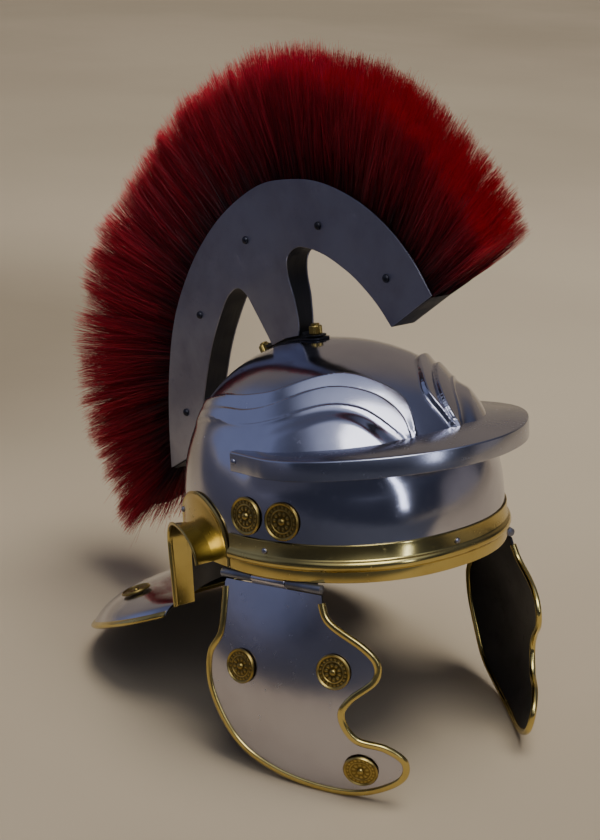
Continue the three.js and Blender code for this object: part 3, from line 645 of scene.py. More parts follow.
@dataclass(frozen=True)
class Skin:
    """The outer surface of the bowl, its nape and its neck guard."""

    half_width: float = 103.0
    front: float = 118.5
    rear: float = 112.0
    height: float = 132.0
    wall_top: float = 23.0
    front_power: float = 2.2
    rear_power: float = 1.95
    dome_power: float = 2.2
    sheet: float = 1.6
    nape: tuple[float, float] = (30.0, 0.2)
    neck: tuple[float, ...] = (125.0, 112.0, 65.5, 95.0, 2.3)
    neck_hub: float = 52.0
    neck_edge: tuple[float, float] = (-31.0, 0.325)
    shelf: float = 0.8

    def half(self, behind: np.ndarray) -> tuple[np.ndarray, np.ndarray]:
        """The outline's power and length, which differ behind the ears and before them."""
        return (np.where(behind > 0, self.rear_power, self.front_power),
                np.where(behind > 0, self.rear, self.front))

    def rim(self, theta: np.ndarray) -> tuple[np.ndarray, np.ndarray]:
        """The rim's outline at angles, where a positive sine is behind the ears."""
        c, s = np.cos(theta), np.sin(theta)
        power, length = self.half(s)
        return (self.half_width * np.sign(c) * np.abs(c) ** (2 / power),
                length * np.sign(s) * np.abs(s) ** (2 / power))

    def angle(self, y: np.ndarray) -> np.ndarray:
        """The rim's angle at a y, on the left side."""
        y = np.asarray(y, float)
        power, length = self.half(y)
        return np.sign(y) * np.arcsin(np.clip((np.abs(y) / length) ** (power / 2), 0, 1))

    def narrowing(self, z: np.ndarray) -> np.ndarray:
        """How much of the rim's outline is left at a height."""
        rise = np.clip((np.asarray(z, float) - self.wall_top) / (self.height - self.wall_top), 0, 1)
        return (1 - rise**self.dome_power) ** (1 / self.dome_power)

    def neck_rim(self, x: np.ndarray, y: np.ndarray) -> np.ndarray:
        """The neck guard's edge straight out from points of the rim."""
        wide, rear, front, middle, power = self.neck
        way = unit(np.stack([x, y - self.neck_hub], -1))
        near, far = np.zeros_like(x), np.full_like(x, 260.0)
        for _ in range(30):
            half = (near + far) / 2
            dx, dy = way[..., 0] * half, self.neck_hub + way[..., 1] * half - middle
            length = np.where(dy > 0, rear, front)
            inside = np.abs(dx / wide) ** power + np.abs(dy / length) ** power < 1
            near, far = np.where(inside, half, near), np.where(inside, far, half)
        ey = self.neck_hub + way[..., 1] * near
        return np.stack([way[..., 0] * near, ey, self.neck_edge[0] - self.neck_edge[1] * ey], -1)

    def at(self, theta: Any, v: Any) -> np.ndarray:
        """Places on the skin.

        Args:
            theta: Angles round the rim.
            v: Rows: 0 to 1 over the dome, to 2 down the wall, to 3 down the nape, to 4 over the neck guard.

        Returns:
            The places, by row.
        """
        theta, v = np.broadcast_arrays(np.asarray(theta, float), np.asarray(v, float))
        x, y = self.rim(theta)
        lift = (1 - np.clip(v, 0, 1)) * np.pi / 2
        scale = np.cos(lift) ** (2 / self.dome_power)
        rise = np.sin(lift) ** (2 / self.dome_power)
        foot = -self.nape[0] - self.nape[1] * np.maximum(y, 45)
        z = np.where(v <= 1, self.wall_top + (self.height - self.wall_top) * rise, self.wall_top * (2 - v))
        z = np.where(v > 2, foot * (v - 2), z)
        place = np.stack([x * scale, y * scale, z], -1)
        low = v > 3
        if low.any():
            w = (v - 3)[low]
            edge = self.neck_rim(x[low], y[low])
            spread = 2 * w * (1 - w) * self.shelf + w * w
            drop = w * w - 0.16 * w * (1 - w)
            place[low] = np.stack([
                x[low] + (edge[:, 0] - x[low]) * spread, y[low] + (edge[:, 1] - y[low]) * spread,
                foot[low] + (edge[:, 2] - foot[low]) * drop], -1)
        return place

    def normal(self, theta: Any, v: Any) -> np.ndarray:
        """The skin's outward directions at angles and rows."""
        theta, v = np.broadcast_arrays(np.asarray(theta, float), np.asarray(v, float))
        v = np.maximum(v, 4e-3)
        around = self.at(theta + 2e-3, v) - self.at(theta - 2e-3, v)
        down = self.at(theta, np.minimum(v + 3e-3, 4)) - self.at(theta, v - 3e-3)
        return unit(np.cross(down, around))

    def off(self, theta: Any, v: Any, out: Any) -> np.ndarray:
        """Places at a distance outside the skin."""
        return self.at(theta, v) + self.normal(theta, v) * np.asarray(out, float)[..., None]

    def row(self, z: Any) -> np.ndarray:
        """The row of the skin at a height, down to the nape."""
        z = np.asarray(z, float)
        rise = np.clip((z - self.wall_top) / (self.height - self.wall_top), 0, 1)
        dome = 1 - np.arcsin(rise ** (self.dome_power / 2)) / (np.pi / 2)
        foot = self.nape[0] + self.nape[1] * 57
        return np.where(z > self.wall_top, dome, np.where(z > 0, 2 - z / self.wall_top, 2 - z / foot))

    def beside(self, y: Any, z: Any, out: Any) -> np.ndarray:
        """Places outside the left side at a y and z."""
        y, z, out = np.broadcast_arrays(*(np.asarray(a, float) for a in (y, z, out)))
        theta = self.angle(y / np.maximum(self.narrowing(z), 0.05))
        return self.off(theta, self.row(z), out)

    def crown(self, x: np.ndarray, y: np.ndarray) -> np.ndarray:
        """The dome's height over places in plan."""
        power, length = self.half(y)
        size = (np.abs(x / self.half_width) ** power + np.abs(y / length) ** power) ** (1 / power)
        left = np.clip(1 - size**self.dome_power, 0, 1) ** (1 / self.dome_power)
        return self.wall_top + (self.height - self.wall_top) * left


@dataclass(frozen=True)
class Eyebrows:
    """The two embossed waves over each brow and the swell below them, given by their lines in plan."""

    top: Points = ((18.6, -104), (13.6, -97), (9.5, -84), (17, -70), (30, -52.5), (42.5, -42.5),
                   (57, -31), (66.3, -20), (72, 0), (72, 22), (69, 42), (63, 60), (54, 78))
    upper: Points = ((20.5, -102.5), (18.4, -91.6), (23.4, -78.7), (33.8, -65), (44.7, -53.4),
                     (54.6, -45), (65, -35.6), (73.8, -23.6), (79, -6), (79, 18), (75.5, 40), (69, 60),
                     (60, 80))
    lower: Points = ((22, -102), (29.6, -91.5), (38, -77.8), (47.6, -66.3), (56, -58), (67, -47.4),
                     (76.5, -34.8), (83, -18), (85, 1), (83.5, 22), (79, 43), (72, 62), (63, 81))
    relief: float = 4.2
    swell: float = 3.4
    groove: float = 1.0

    def distance(self, skin: Skin, line: Points, places: np.ndarray) -> np.ndarray:
        """How far places lie from a line on the dome, negative above it."""
        plan = spline(line, 240)
        path = np.column_stack([plan, skin.crown(plan[:, 0], plan[:, 1])])
        gap = np.empty(len(places))
        side = np.empty(len(places))
        way = np.gradient(plan, axis=0)
        for start in range(0, len(places), 4000):
            some = places[start:start + 4000]
            square = ((some[:, None, :] - path[None]) ** 2).sum(-1)
            near = square.argmin(1)
            gap[start:start + 4000] = np.sqrt(square[np.arange(len(some)), near])
            across = some[:, :2] - plan[near]
            side[start:start + 4000] = np.sign(across[:, 0] * way[near, 1] - across[:, 1] * way[near, 0])
        return gap * side

    def height(self, skin: Skin, places: np.ndarray) -> np.ndarray:
        """How far the embossing lifts each place of the dome."""
        lift = np.zeros(len(places))
        near = (places[:, 2] > 50) & (places[:, 2] < 127)
        p = np.column_stack([np.abs(places[near, 0]), places[near, 1:]])
        a, b, c = (self.distance(skin, line, p) for line in (self.top, self.upper, self.lower))
        depth = 0.3 + 0.7 * smooth(p[:, 1], 30, -20)
        first = 1.0 - 0.8 * depth * np.clip(a / np.maximum(a - b, 1e-6), 0, 1)
        second = 0.85 - 0.6 * depth * np.clip(b / np.maximum(b - c, 1e-6), 0, 1)
        last = 0.5 * np.exp(-np.maximum(c, 0) / 5)
        ease = np.minimum(self.groove, 0.25 * np.maximum(a - c, 1e-6))
        level = first + (second - first) * smooth(b / ease, -1, 1)
        level += (last - level) * smooth(c / ease, -1, 1)
        whole = self.relief * smooth(a, -1.4, 1.4) * level
        whole *= smooth(p[:, 1], 66, 44) * smooth(a - c, 0.5, 7)
        below = (smooth(c, 2, 15) * smooth(p[:, 1], -26, -44) * smooth(p[:, 2], 56, 72)
                 * smooth(p[:, 1], -110, -98))
        lift[near] = np.where(a < -2, 0, whole) + np.where(c > 0, self.swell * below, 0)
        return lift


# ---------------------------------------------------------------- bowl and trim


@dataclass
class Bowl:
    """The bowl with its embossed eyebrows, nape and neck guard, as one sheet of steel."""

    skin: Skin
    eyebrows: Eyebrows
    columns: int = 290
    ear_middle: float = 30.0
    ear_half: float = 26.6
    ear_height: float = 19.6
    nape_start: float = 57.0
    wave_rows: tuple[float, float] = (0.30, 0.62)
    wave_angles: tuple[float, float] = (0.08, 1.75)

    def rows(self) -> np.ndarray:
        """The rows of the sheet, closest where the eyebrows are."""
        spans = ((0.0, 0.28, 10), (0.28, 0.70, 50), (0.70, 1.0, 8), (1.0, 2.0, 6), (2.0, 3.0, 10),
                 (3.0, 4.0, 26))
        parts = [np.linspace(a, b, n, endpoint=False) for a, b, n in spans]
        return np.concatenate(parts + [[4.0]])

    def stations(self) -> np.ndarray:
        """The angles of the columns, with one at each end of the nape."""
        start = float(self.skin.angle(self.nape_start))
        nape = int(self.columns * 0.28)
        back = np.linspace(start, np.pi - start, nape + 1)
        fine = np.linspace(np.pi - start, 2 * np.pi + start, 2001)
        crowd = np.cumsum(1 + 1.4 * np.exp(-(((fine - 1.5 * np.pi) / 0.6) ** 2)))
        share = (crowd - crowd[0]) / (crowd[-1] - crowd[0])
        front = np.interp(np.linspace(0, 1, self.columns - nape + 1), share, fine)[1:]
        return np.concatenate([back, front])

    def build(self) -> bmesh.types.BMesh:
        """The finished sheet, with its thickness."""
        rows, angles = self.rows(), self.stations()
        start = angles[0]

        def over(u: Any, w: Any) -> tuple[Any, Any]:
            """The angle and the row at places of the flat grid."""
            return (np.interp(u * (len(angles) - 1), np.arange(len(angles)), angles),
                    np.interp(w * (len(rows) - 1), np.arange(len(rows)), rows))

        def lay(u: np.ndarray, w: np.ndarray) -> np.ndarray:
            """Lays the sheet on the skin and raises its embossing."""
            theta, v = over(u, w)
            place = self.skin.at(theta, v)
            lift = self.eyebrows.height(self.skin, place) * (v < 1.0)
            place += self.skin.normal(theta, v) * lift[:, None]
            hidden = (v > 2.0 + 1e-6) & (theta > np.pi - start + 1e-6) & (theta < 2 * np.pi + start - 1e-6)
            place[hidden, 2] -= 1000.0
            return place

        def embossed(u: float, w: float) -> bool:
            """Whether a face of the flat grid is where the waves are, and so needs to be finer."""
            theta, v = over(u, w)
            aside = abs(theta - 1.5 * np.pi)
            return (self.wave_angles[0] < aside < self.wave_angles[1]
                    and self.wave_rows[0] < v < self.wave_rows[1])

        bm = grid(len(angles) - 1, len(rows) - 1, lay, embossed)
        away = [f for f in bm.faces if min(v.co.z for v in f.verts) < -500 or self.over_ear(f)]
        bmesh.ops.delete(bm, geom=away, context="FACES")
        self.trim_arches(bm)
        faced(bm)
        outside = set(bm.faces)
        bmesh.ops.solidify(bm, geom=bm.faces, thickness=self.skin.sheet)
        if max(v.co.z for v in bm.verts) < self.skin.height - 0.5:
            log.warning("the bowl's wall grew outwards")
        for face in bm.faces:
            face.material_index = 0 if face in outside else 1
        return bm

    def over_ear(self, face: bmesh.types.BMFace) -> bool:
        """Whether a face lies in an ear's arch."""
        middle = face.calc_center_median()
        span = ((middle.y - self.ear_middle) / self.ear_half) ** 2 + (max(middle.z, 0) / self.ear_height) ** 2
        return abs(middle.x) > 50 and middle.z > -1 and span < 1

    def trim_arches(self, bm: bmesh.types.BMesh) -> None:
        """Draws the ragged edge of each ear's cut onto its arch."""
        for vertex in [v for v in bm.verts if v.is_boundary and abs(v.co.x) > 50 and 0.2 < v.co.z < 24]:
            y, z = vertex.co.y - self.ear_middle, vertex.co.z
            size = math.hypot(y / self.ear_half, z / self.ear_height)
            vertex.co.y, vertex.co.z = self.ear_middle + y / size, z / size

    def dress(self, bench: Bench, finishes: Finishes) -> None:
        """Makes the piece."""
        # The inner faces take the near-black steel: painted shade inside the bowl.
        bench.finish(self.build(), "bowl_raised", finishes.steel, "bowl", inner=finishes.inner, crease=50,
                     slot="polished_steel")


@dataclass
class Trim:
    """The brass round the rim and the neck guard, and the steel brow guard."""

    skin: Skin
    band_rear: float = -15.5
    brow_top: float = 75.5
    brow_rise: float = 0.067
    brow_height: float = 13.0
    brow_sheet: float = 1.5
    brow_tip: float = -144.0
    brow_plan: Points = ((99.2, -15.5), (100.6, -30), (102.2, -45), (102.6, -60), (97.5, -81), (82, -104),
                         (57, -126), (28, -139.5))

    def band(self) -> bmesh.types.BMesh:
        """The rim's band, with a bead between its two flats."""
        turn = np.linspace(0.25, math.pi - 0.25, 9)
        bead = [(1.4 + 2.7 * math.sin(a), 10 + 3.3 * math.cos(a)) for a in turn]
        profile = [(0.3, 22.8), (0.7, 23.3), (1.2, 23.1), (1.4, 22.4), (1.4, 14.2), *bead, (1.4, 6.0),
                   (1.4, -0.4), (1.0, -1.2), (-1.0, -1.3), (-1.6, -0.9), (-1.4, -0.3), (0.3, -0.3)]
        start = float(self.skin.angle(self.band_rear))
        theta = np.linspace(start, -np.pi - start, 181)
        way = self.skin.normal(theta, 1.5)[:, None, :2]
        x, y = self.skin.rim(theta)
        out = np.array(profile)[None, :, :1]
        flat = np.stack([x, y], -1)[:, None, :] + way * out
        z = np.broadcast_to(np.array(profile)[None, :, 1:], flat.shape[:2] + (1,))
        return sweep(np.concatenate([flat, z], -1))

    def brow(self) -> bmesh.types.BMesh:
        """The brow guard: an upright band turned in to the bowl along its top."""
        half = list(self.brow_plan)
        path = spline(half + [(0, self.brow_tip)] + [(-x, y) for x, y in reversed(half)], 221)
        way = unit(np.gradient(path, axis=0))
        out = np.stack([-way[:, 1], way[:, 0]], -1)
        out *= np.sign((out * path).sum(1))[:, None]
        top = self.brow_top - self.brow_rise * path[:, 1]
        scale = self.skin.narrowing(top - 1)
        power = self.skin.front_power
        size = (np.abs(path[:, 0] / (self.skin.half_width * scale)) ** power
                + np.abs(path[:, 1] / (self.skin.front * scale)) ** power) ** (1 / power)
        root = path / size[:, None]
        root += unit(root) * 0.2
        t, h = self.brow_sheet, self.brow_height
        outer = [(0.0, -h + 0.5), (0.0, -1.1), (-0.35, -0.35), (-1.1, 0.0)]
        inner = [(-t - 0.6, -t), (-t, -t - 0.6), (-t, -h + 0.5), (-t / 2, -h)]

        def lines(corners: list) -> list[np.ndarray]:
            """Lines beside the path at distances out from it and down."""
            return [np.column_stack([path + out * aside, top + drop]) for aside, drop in corners]

        shelf = [np.column_stack([root, top]), np.column_stack([root, top - t])]
        return sweep(np.stack(lines(outer) + shelf + lines(inner), 1))

    def neck(self) -> bmesh.types.BMesh:
        """The folded strip over the neck guard's edge."""
        start = float(self.skin.angle(57.5))
        theta = np.linspace(start, np.pi - start, 161)
        edge = self.skin.at(theta, 4.0)
        out = unit(edge - self.skin.at(theta, 3.9))
        around = unit(np.gradient(edge, axis=0))
        up = np.cross(out, around)
        up *= np.sign(up[:, 2:])
        middle = edge - up * self.skin.sheet / 2
        return sweep(folded_strip(middle, out, up, 3.4, 2.1))

    def dress(self, bench: Bench, finishes: Finishes) -> None:
        """Makes the three pieces."""
        bench.finish(self.band(), "rim_band_beaded", finishes.brass, "rim_band")
        bench.finish(self.brow(), "brow_guard_turned", finishes.flat, "brow_guard", crease=40,
                     slot="polished_steel")
        bench.finish(self.neck(), "neck_edging_rolled", finishes.brass, "neck_edging", crease=60)


def folded_strip(middle: np.ndarray, out: np.ndarray, up: np.ndarray, reach: float,
                 thick: float) -> np.ndarray:
    """Rings of a strip folded over a sheet's edge.

    Args:
        middle: Places along the middle of the sheet's edge.
        out: The ways out past the edge.
        up: The ways up from the sheet.
        reach: How far the strip reaches back over the sheet.
        thick: Its half height.

    Returns:
        The rings, with a round nose and thinned tails.
    """
    nose = [(0.2 + 1.5 * math.sin(a), thick * math.cos(a)) for a in np.linspace(0.0, math.pi, 9)]
    profile = [(-reach, thick - 1.0), (-reach + 0.5, thick - 0.3), *nose, (-reach + 0.5, -thick + 0.3),
               (-reach, -thick + 1.0)]
    return np.stack([middle + out * a + up * b for a, b in profile], 1)


@dataclass
class EarGuards:
    """The brass plate over each ear, with the flange that stands out round it."""

    skin: Skin
    middle: float = 30.0
    half: float = 26.0
    height: float = 19.0
    flange: float = 14.0
    leg: float = -45.0
    steps: int = 96
    outline: Points = ((-14.5, -0.5), (-14.5, 10), (-9, 28), (4, 39), (20, 43), (38, 39), (54, 28), (64, 12),
                       (67, -6), (67, -34))

    def arch(self, half: float, height: float, leg: float, count: int) -> np.ndarray:
        """The ear's opening in side view, from its front foot over and down to the end of its rear leg."""
        turn = np.linspace(math.pi, 0, 40)
        over = np.column_stack([self.middle + half * np.cos(turn), height * np.sin(turn)])
        down = np.column_stack([np.full(16, self.middle + half), np.linspace(0, leg, 17)[1:]])
        return evenly(np.vstack([over, down]), count)

    def plate(self) -> bmesh.types.BMesh:
        """The plate, flat on the wall and the dome's foot."""
        inner = self.arch(25.5, 18.5, -34, self.steps + 1)
        outer = spline(self.outline, self.steps + 1)

        def lay(u: np.ndarray, w: np.ndarray) -> np.ndarray:
            """Lays the plate between its two outlines, with a raised lip round its outer one."""
            at = np.rint(u * self.steps).astype(int)
            y, z = (inner[at] + (outer[at] - inner[at]) * w[:, None]).T
            lip = 0.8 * np.exp(-(((w - 0.93) / 0.05) ** 2))
            return self.skin.beside(y, z, 1.35 + lip)

        bm = grid(self.steps, 24, lay)
        faced(bm, (1.0, 0.0, 0.0))
        bmesh.ops.solidify(bm, geom=bm.faces, thickness=1.0)
        return bm

    def ledge(self) -> bmesh.types.BMesh:
        """The flange, with a rolled outer edge."""
        line = self.arch(self.half, self.height, self.leg, 121)
        way = unit(np.gradient(line, axis=0))
        out = np.column_stack([-way[:, 1], way[:, 0]])
        x = self.skin.rim(self.skin.angle(line[:, 0]))[0]
        reach = self.flange - 1.2
        turn = np.linspace(0.5, math.pi + 0.9, 11)
        roll = [(reach + 1.0 + 1.4 * math.sin(a), 1.4 * math.cos(a)) for a in turn]
        profile = [(-2.0, 0.5), (2.5, 0.5), (reach, 0.55), *roll, (reach - 1.2, -0.5), (-2.0, -0.5)]
        bulge = 2.2 * np.sin(np.linspace(0, math.pi, len(line))) ** 2
        rings = []
        for stand_out, thick in profile:
            flare = np.clip(stand_out / self.flange, 0, 1) ** 2 * bulge
            rings.append(np.column_stack([x + stand_out, line + out * (thick + flare)[:, None]]))
        return sweep(np.stack(rings, 1))

    def dress(self, bench: Bench, finishes: Finishes) -> None:
        """Makes a guard for each side."""
        for side in Side:
            whole = mirrored(joined([self.plate(), self.ledge()]), side)
            bench.finish(whole, f"ear_guard_rolled_{side.word}", finishes.brass, f"ear_guard_{side.word}")


# ---------------------------------------------------------------- cheek guards and hinges


@dataclass
class CheekGuards:
    """The hinged cheek guards with their brass edging, and the hinges they hang on."""

    skin: Skin
    sheet: float = 1.4
    bulge: float = 16.0
    depth: float = 152.0
    roll: float = 340.0
    roll_centre: float = -5.0
    roll_depth: float = 40.0
    knuckle: float = 2.9
    blank_middle: Span = (20.0, 70.6)
    blank_half: Span = (72.0, 67.0)
    hinge_front: tuple[float, float, float] = (83.0, -84.0, -4.4)
    hinge_rear: tuple[float, float, float] = (105.0, -8.0, -4.4)
    outline: Points = ((39.5, 3.6), (41, 11), (47, 20), (69, 32.5), (78.5, 43), (76.5, 55), (61, 68.5),
                       (55, 80), (62, 95), (79, 100.5), (89, 111), (84, 125), (62, 135.5), (37, 136),
                       (1, 127.5), (-27, 111.5), (-45, 80), (-46.5, 55), (-37, 38), (-36, 18), (-37, 3.6))

    def __post_init__(self) -> None:
        """Works out the hinge's directions, for the left side."""
        front, rear = np.array(self.hinge_front), np.array(self.hinge_rear)
        self.middle = (front + rear) / 2
        self.way = unit(front - rear)
        self.down = np.array((0.0, 0.0, -1.0))
        self.out = np.cross(self.way, self.down)
        self.out *= np.sign(self.out[0])

    def at(self, s: Any, d: Any, out: Any = 0.0) -> np.ndarray:
        """Places of the guard: s forward along the hinge, d down from it, out from its surface."""
        s, d, out = np.broadcast_arrays(*(np.asarray(a, float) for a in (s, d, out)))
        swell = self.bulge * np.sin(np.pi * d / self.depth)
        curl = (1 - np.exp(-np.maximum(d, 0) / self.roll_depth)) * (s - self.roll_centre) ** 2 / self.roll
        away = (swell - curl + out)[..., None]
        return self.middle + self.way * s[..., None] + self.down * d[..., None] + self.out * away

    def normal(self, s: Any, d: Any) -> np.ndarray:
        """The guard's outward directions."""
        forward = self.at(np.add(s, 0.5), d) - self.at(np.subtract(s, 0.5), d)
        down = self.at(s, np.add(d, 0.5)) - self.at(s, np.subtract(d, 0.5))
        across = unit(np.cross(forward, down))
        return across * np.sign((across * self.out).sum(-1, keepdims=True))

    def plate(self) -> bmesh.types.BMesh:
        """The guard's sheet, cut to its outline."""
        edge = spline(self.outline, 420)
        closed = np.vstack([edge, edge[:1]])
        bm = bmesh.new()
        bmesh.ops.create_grid(bm, x_segments=72, y_segments=70, size=1.0)
        (s_middle, d_middle), (s_half, d_half) = self.blank_middle, self.blank_half
        warp(bm, lambda p: np.column_stack([s_middle + s_half * p[:, 0], d_middle + d_half * p[:, 1],
                                            0 * p[:, 0]]))
        away = []
        for face in bm.faces:
            s, d = face.calc_center_median().xy
            a, b = closed[:-1], closed[1:]
            spans = (a[:, 1] > d) != (b[:, 1] > d)
            a, b = a[spans], b[spans]
            cross = a[:, 0] + (d - a[:, 1]) / (b[:, 1] - a[:, 1]) * (b[:, 0] - a[:, 0])
            if (cross > s).sum() % 2 == 0:
                away.append(face)
        bmesh.ops.delete(bm, geom=away, context="FACES")
        (s_front, d_top), (s_rear, _) = self.outline[0], self.outline[-1]
        top = np.column_stack([np.linspace(s_rear, s_front, 300), np.full(300, d_top)])
        hem = np.vstack([spline(self.outline, 3000), top])
        for vertex in [v for v in bm.verts if v.is_boundary]:
            vertex.co.xy = hem[((hem - np.array(vertex.co.xy)) ** 2).sum(1).argmin()]
        bmesh.ops.smooth_vert(bm, verts=[v for v in bm.verts if not v.is_boundary], factor=0.5,
                              use_axis_x=True, use_axis_y=True, use_axis_z=True)
        warp(bm, lambda p: self.at(p[:, 0], p[:, 1]))
        faced(bm, self.out)
        outside = set(bm.faces)
        bmesh.ops.solidify(bm, geom=bm.faces, thickness=self.sheet)
        for face in bm.faces:
            face.material_index = 0 if face in outside else 1
        return bm

    def edging(self) -> bmesh.types.BMesh:
        """The folded brass strip round the outline."""
        curve = spline(self.outline, 321)[4:-4]
        way = unit(np.gradient(curve, axis=0))
        up = self.normal(curve[:, 0], curve[:, 1])
        along = unit(self.at(*(curve + way).T) - self.at(*(curve - way).T))
        out = unit(np.cross(along, up))
        middle = self.at(curve[:, 0], curve[:, 1], -self.sheet / 2)
        heart = self.at(15.0, 75.0)
        out *= np.sign((out * (middle - heart)).sum(-1).mean())
        return sweep(folded_strip(middle, out, up, 2.9, 2.1))

    def roll_on_pin(self, start: float, end: float, radius: float) -> bmesh.types.BMesh:
        """One rolled knuckle or the pin, from start to end along the hinge."""
        bm = bmesh.new()
        bmesh.ops.create_cone(bm, cap_ends=True, cap_tris=False, segments=28, radius1=radius,
                              radius2=radius, depth=end - start)
        eased(bm, level_edges(bm, 2), 0.35)
        return stand(bm, self.middle + self.way * (start + end) / 2, self.way)

    def strap(self, along: Span, drop: Span, reach: Span) -> bmesh.types.BMesh:
        """A small flat tab beside a knuckle, as spans forward along the hinge, down from it and out."""
        bm = bmesh.new()
        bmesh.ops.create_cube(bm, size=1.0)
        eased(bm, list(bm.edges), 0.08)

        def lay(p: np.ndarray) -> np.ndarray:
            """Stretches the cube over the spans."""
            place = np.broadcast_to(self.middle, p.shape)
            spans = zip((self.way, self.down, self.out), (along, drop, reach), (p + 0.5).T)
            for way, (low, high), share in spans:
                place = place + way * (low + share * (high - low))[:, None]
            return place

        warp(bm, lay)
        bmesh.ops.recalc_face_normals(bm, faces=bm.faces)
        return bm

    def leaf(self) -> bmesh.types.BMesh:
        """The fixed half: a strip inside the wall, with a knuckle at each end."""
        def lay(u: np.ndarray, w: np.ndarray) -> np.ndarray:
            """Lays the strip inside the wall."""
            theta = self.skin.angle(-79 + 66 * u)
            place = self.skin.off(theta, 1.5, np.full_like(theta, -self.skin.sheet - 0.4))
            place[:, 2] = 13 - w * 13.6
            return place

        strip = grid(40, 6, lay)
        bmesh.ops.solidify(strip, geom=strip.faces, thickness=-1.0)
        bmesh.ops.recalc_face_normals(strip, faces=strip.faces)
        return joined([
            strip,
            self.roll_on_pin(-39.5, -15.4, self.knuckle),
            self.roll_on_pin(12.5, 39.5, self.knuckle),
            self.strap((16.5, 33.5), (-2.4, 0.6), (-5, -1.7)),
            self.strap((-33.5, -19.4), (-2.4, 0.6), (-4, -1.7)),
        ])

    def dress(self, bench: Bench, finishes: Finishes) -> None:
        """Makes both guards and both hinges."""
        for side in Side:
            word = side.word
            plate = self.plate()
            hung = joined([plate, self.roll_on_pin(-14.9, 12.0, self.knuckle),
                           self.strap((-14.9, 12.0), (1.4, 7.0), (-0.1, 1.1))])
            # The inner faces take the near-black steel: painted shade inside the cheek guards.
            bench.finish(mirrored(hung, side), f"cheek_guard_raised_{word}", finishes.cheek,
                         f"cheek_guard_{word}", body=side.cheek, inner=finishes.inner, crease=45,
                         slot="polished_steel")
            bench.finish(mirrored(self.edging(), side), f"cheek_edging_rolled_{word}", finishes.brass,
                         f"cheek_edging_{word}", body=side.cheek, crease=60)
            bench.finish(mirrored(self.leaf(), side), f"hinge_leaf_rolled_{word}", finishes.dark,
                         f"hinge_leaf_{word}")
            pin = self.roll_on_pin(-39.9, 39.9, 1.2)
            bench.finish(mirrored(pin, side), f"hinge_pin_turned_{word}", finishes.dark, f"hinge_pin_{word}")


# ---------------------------------------------------------------- rosettes, rivets and nuts


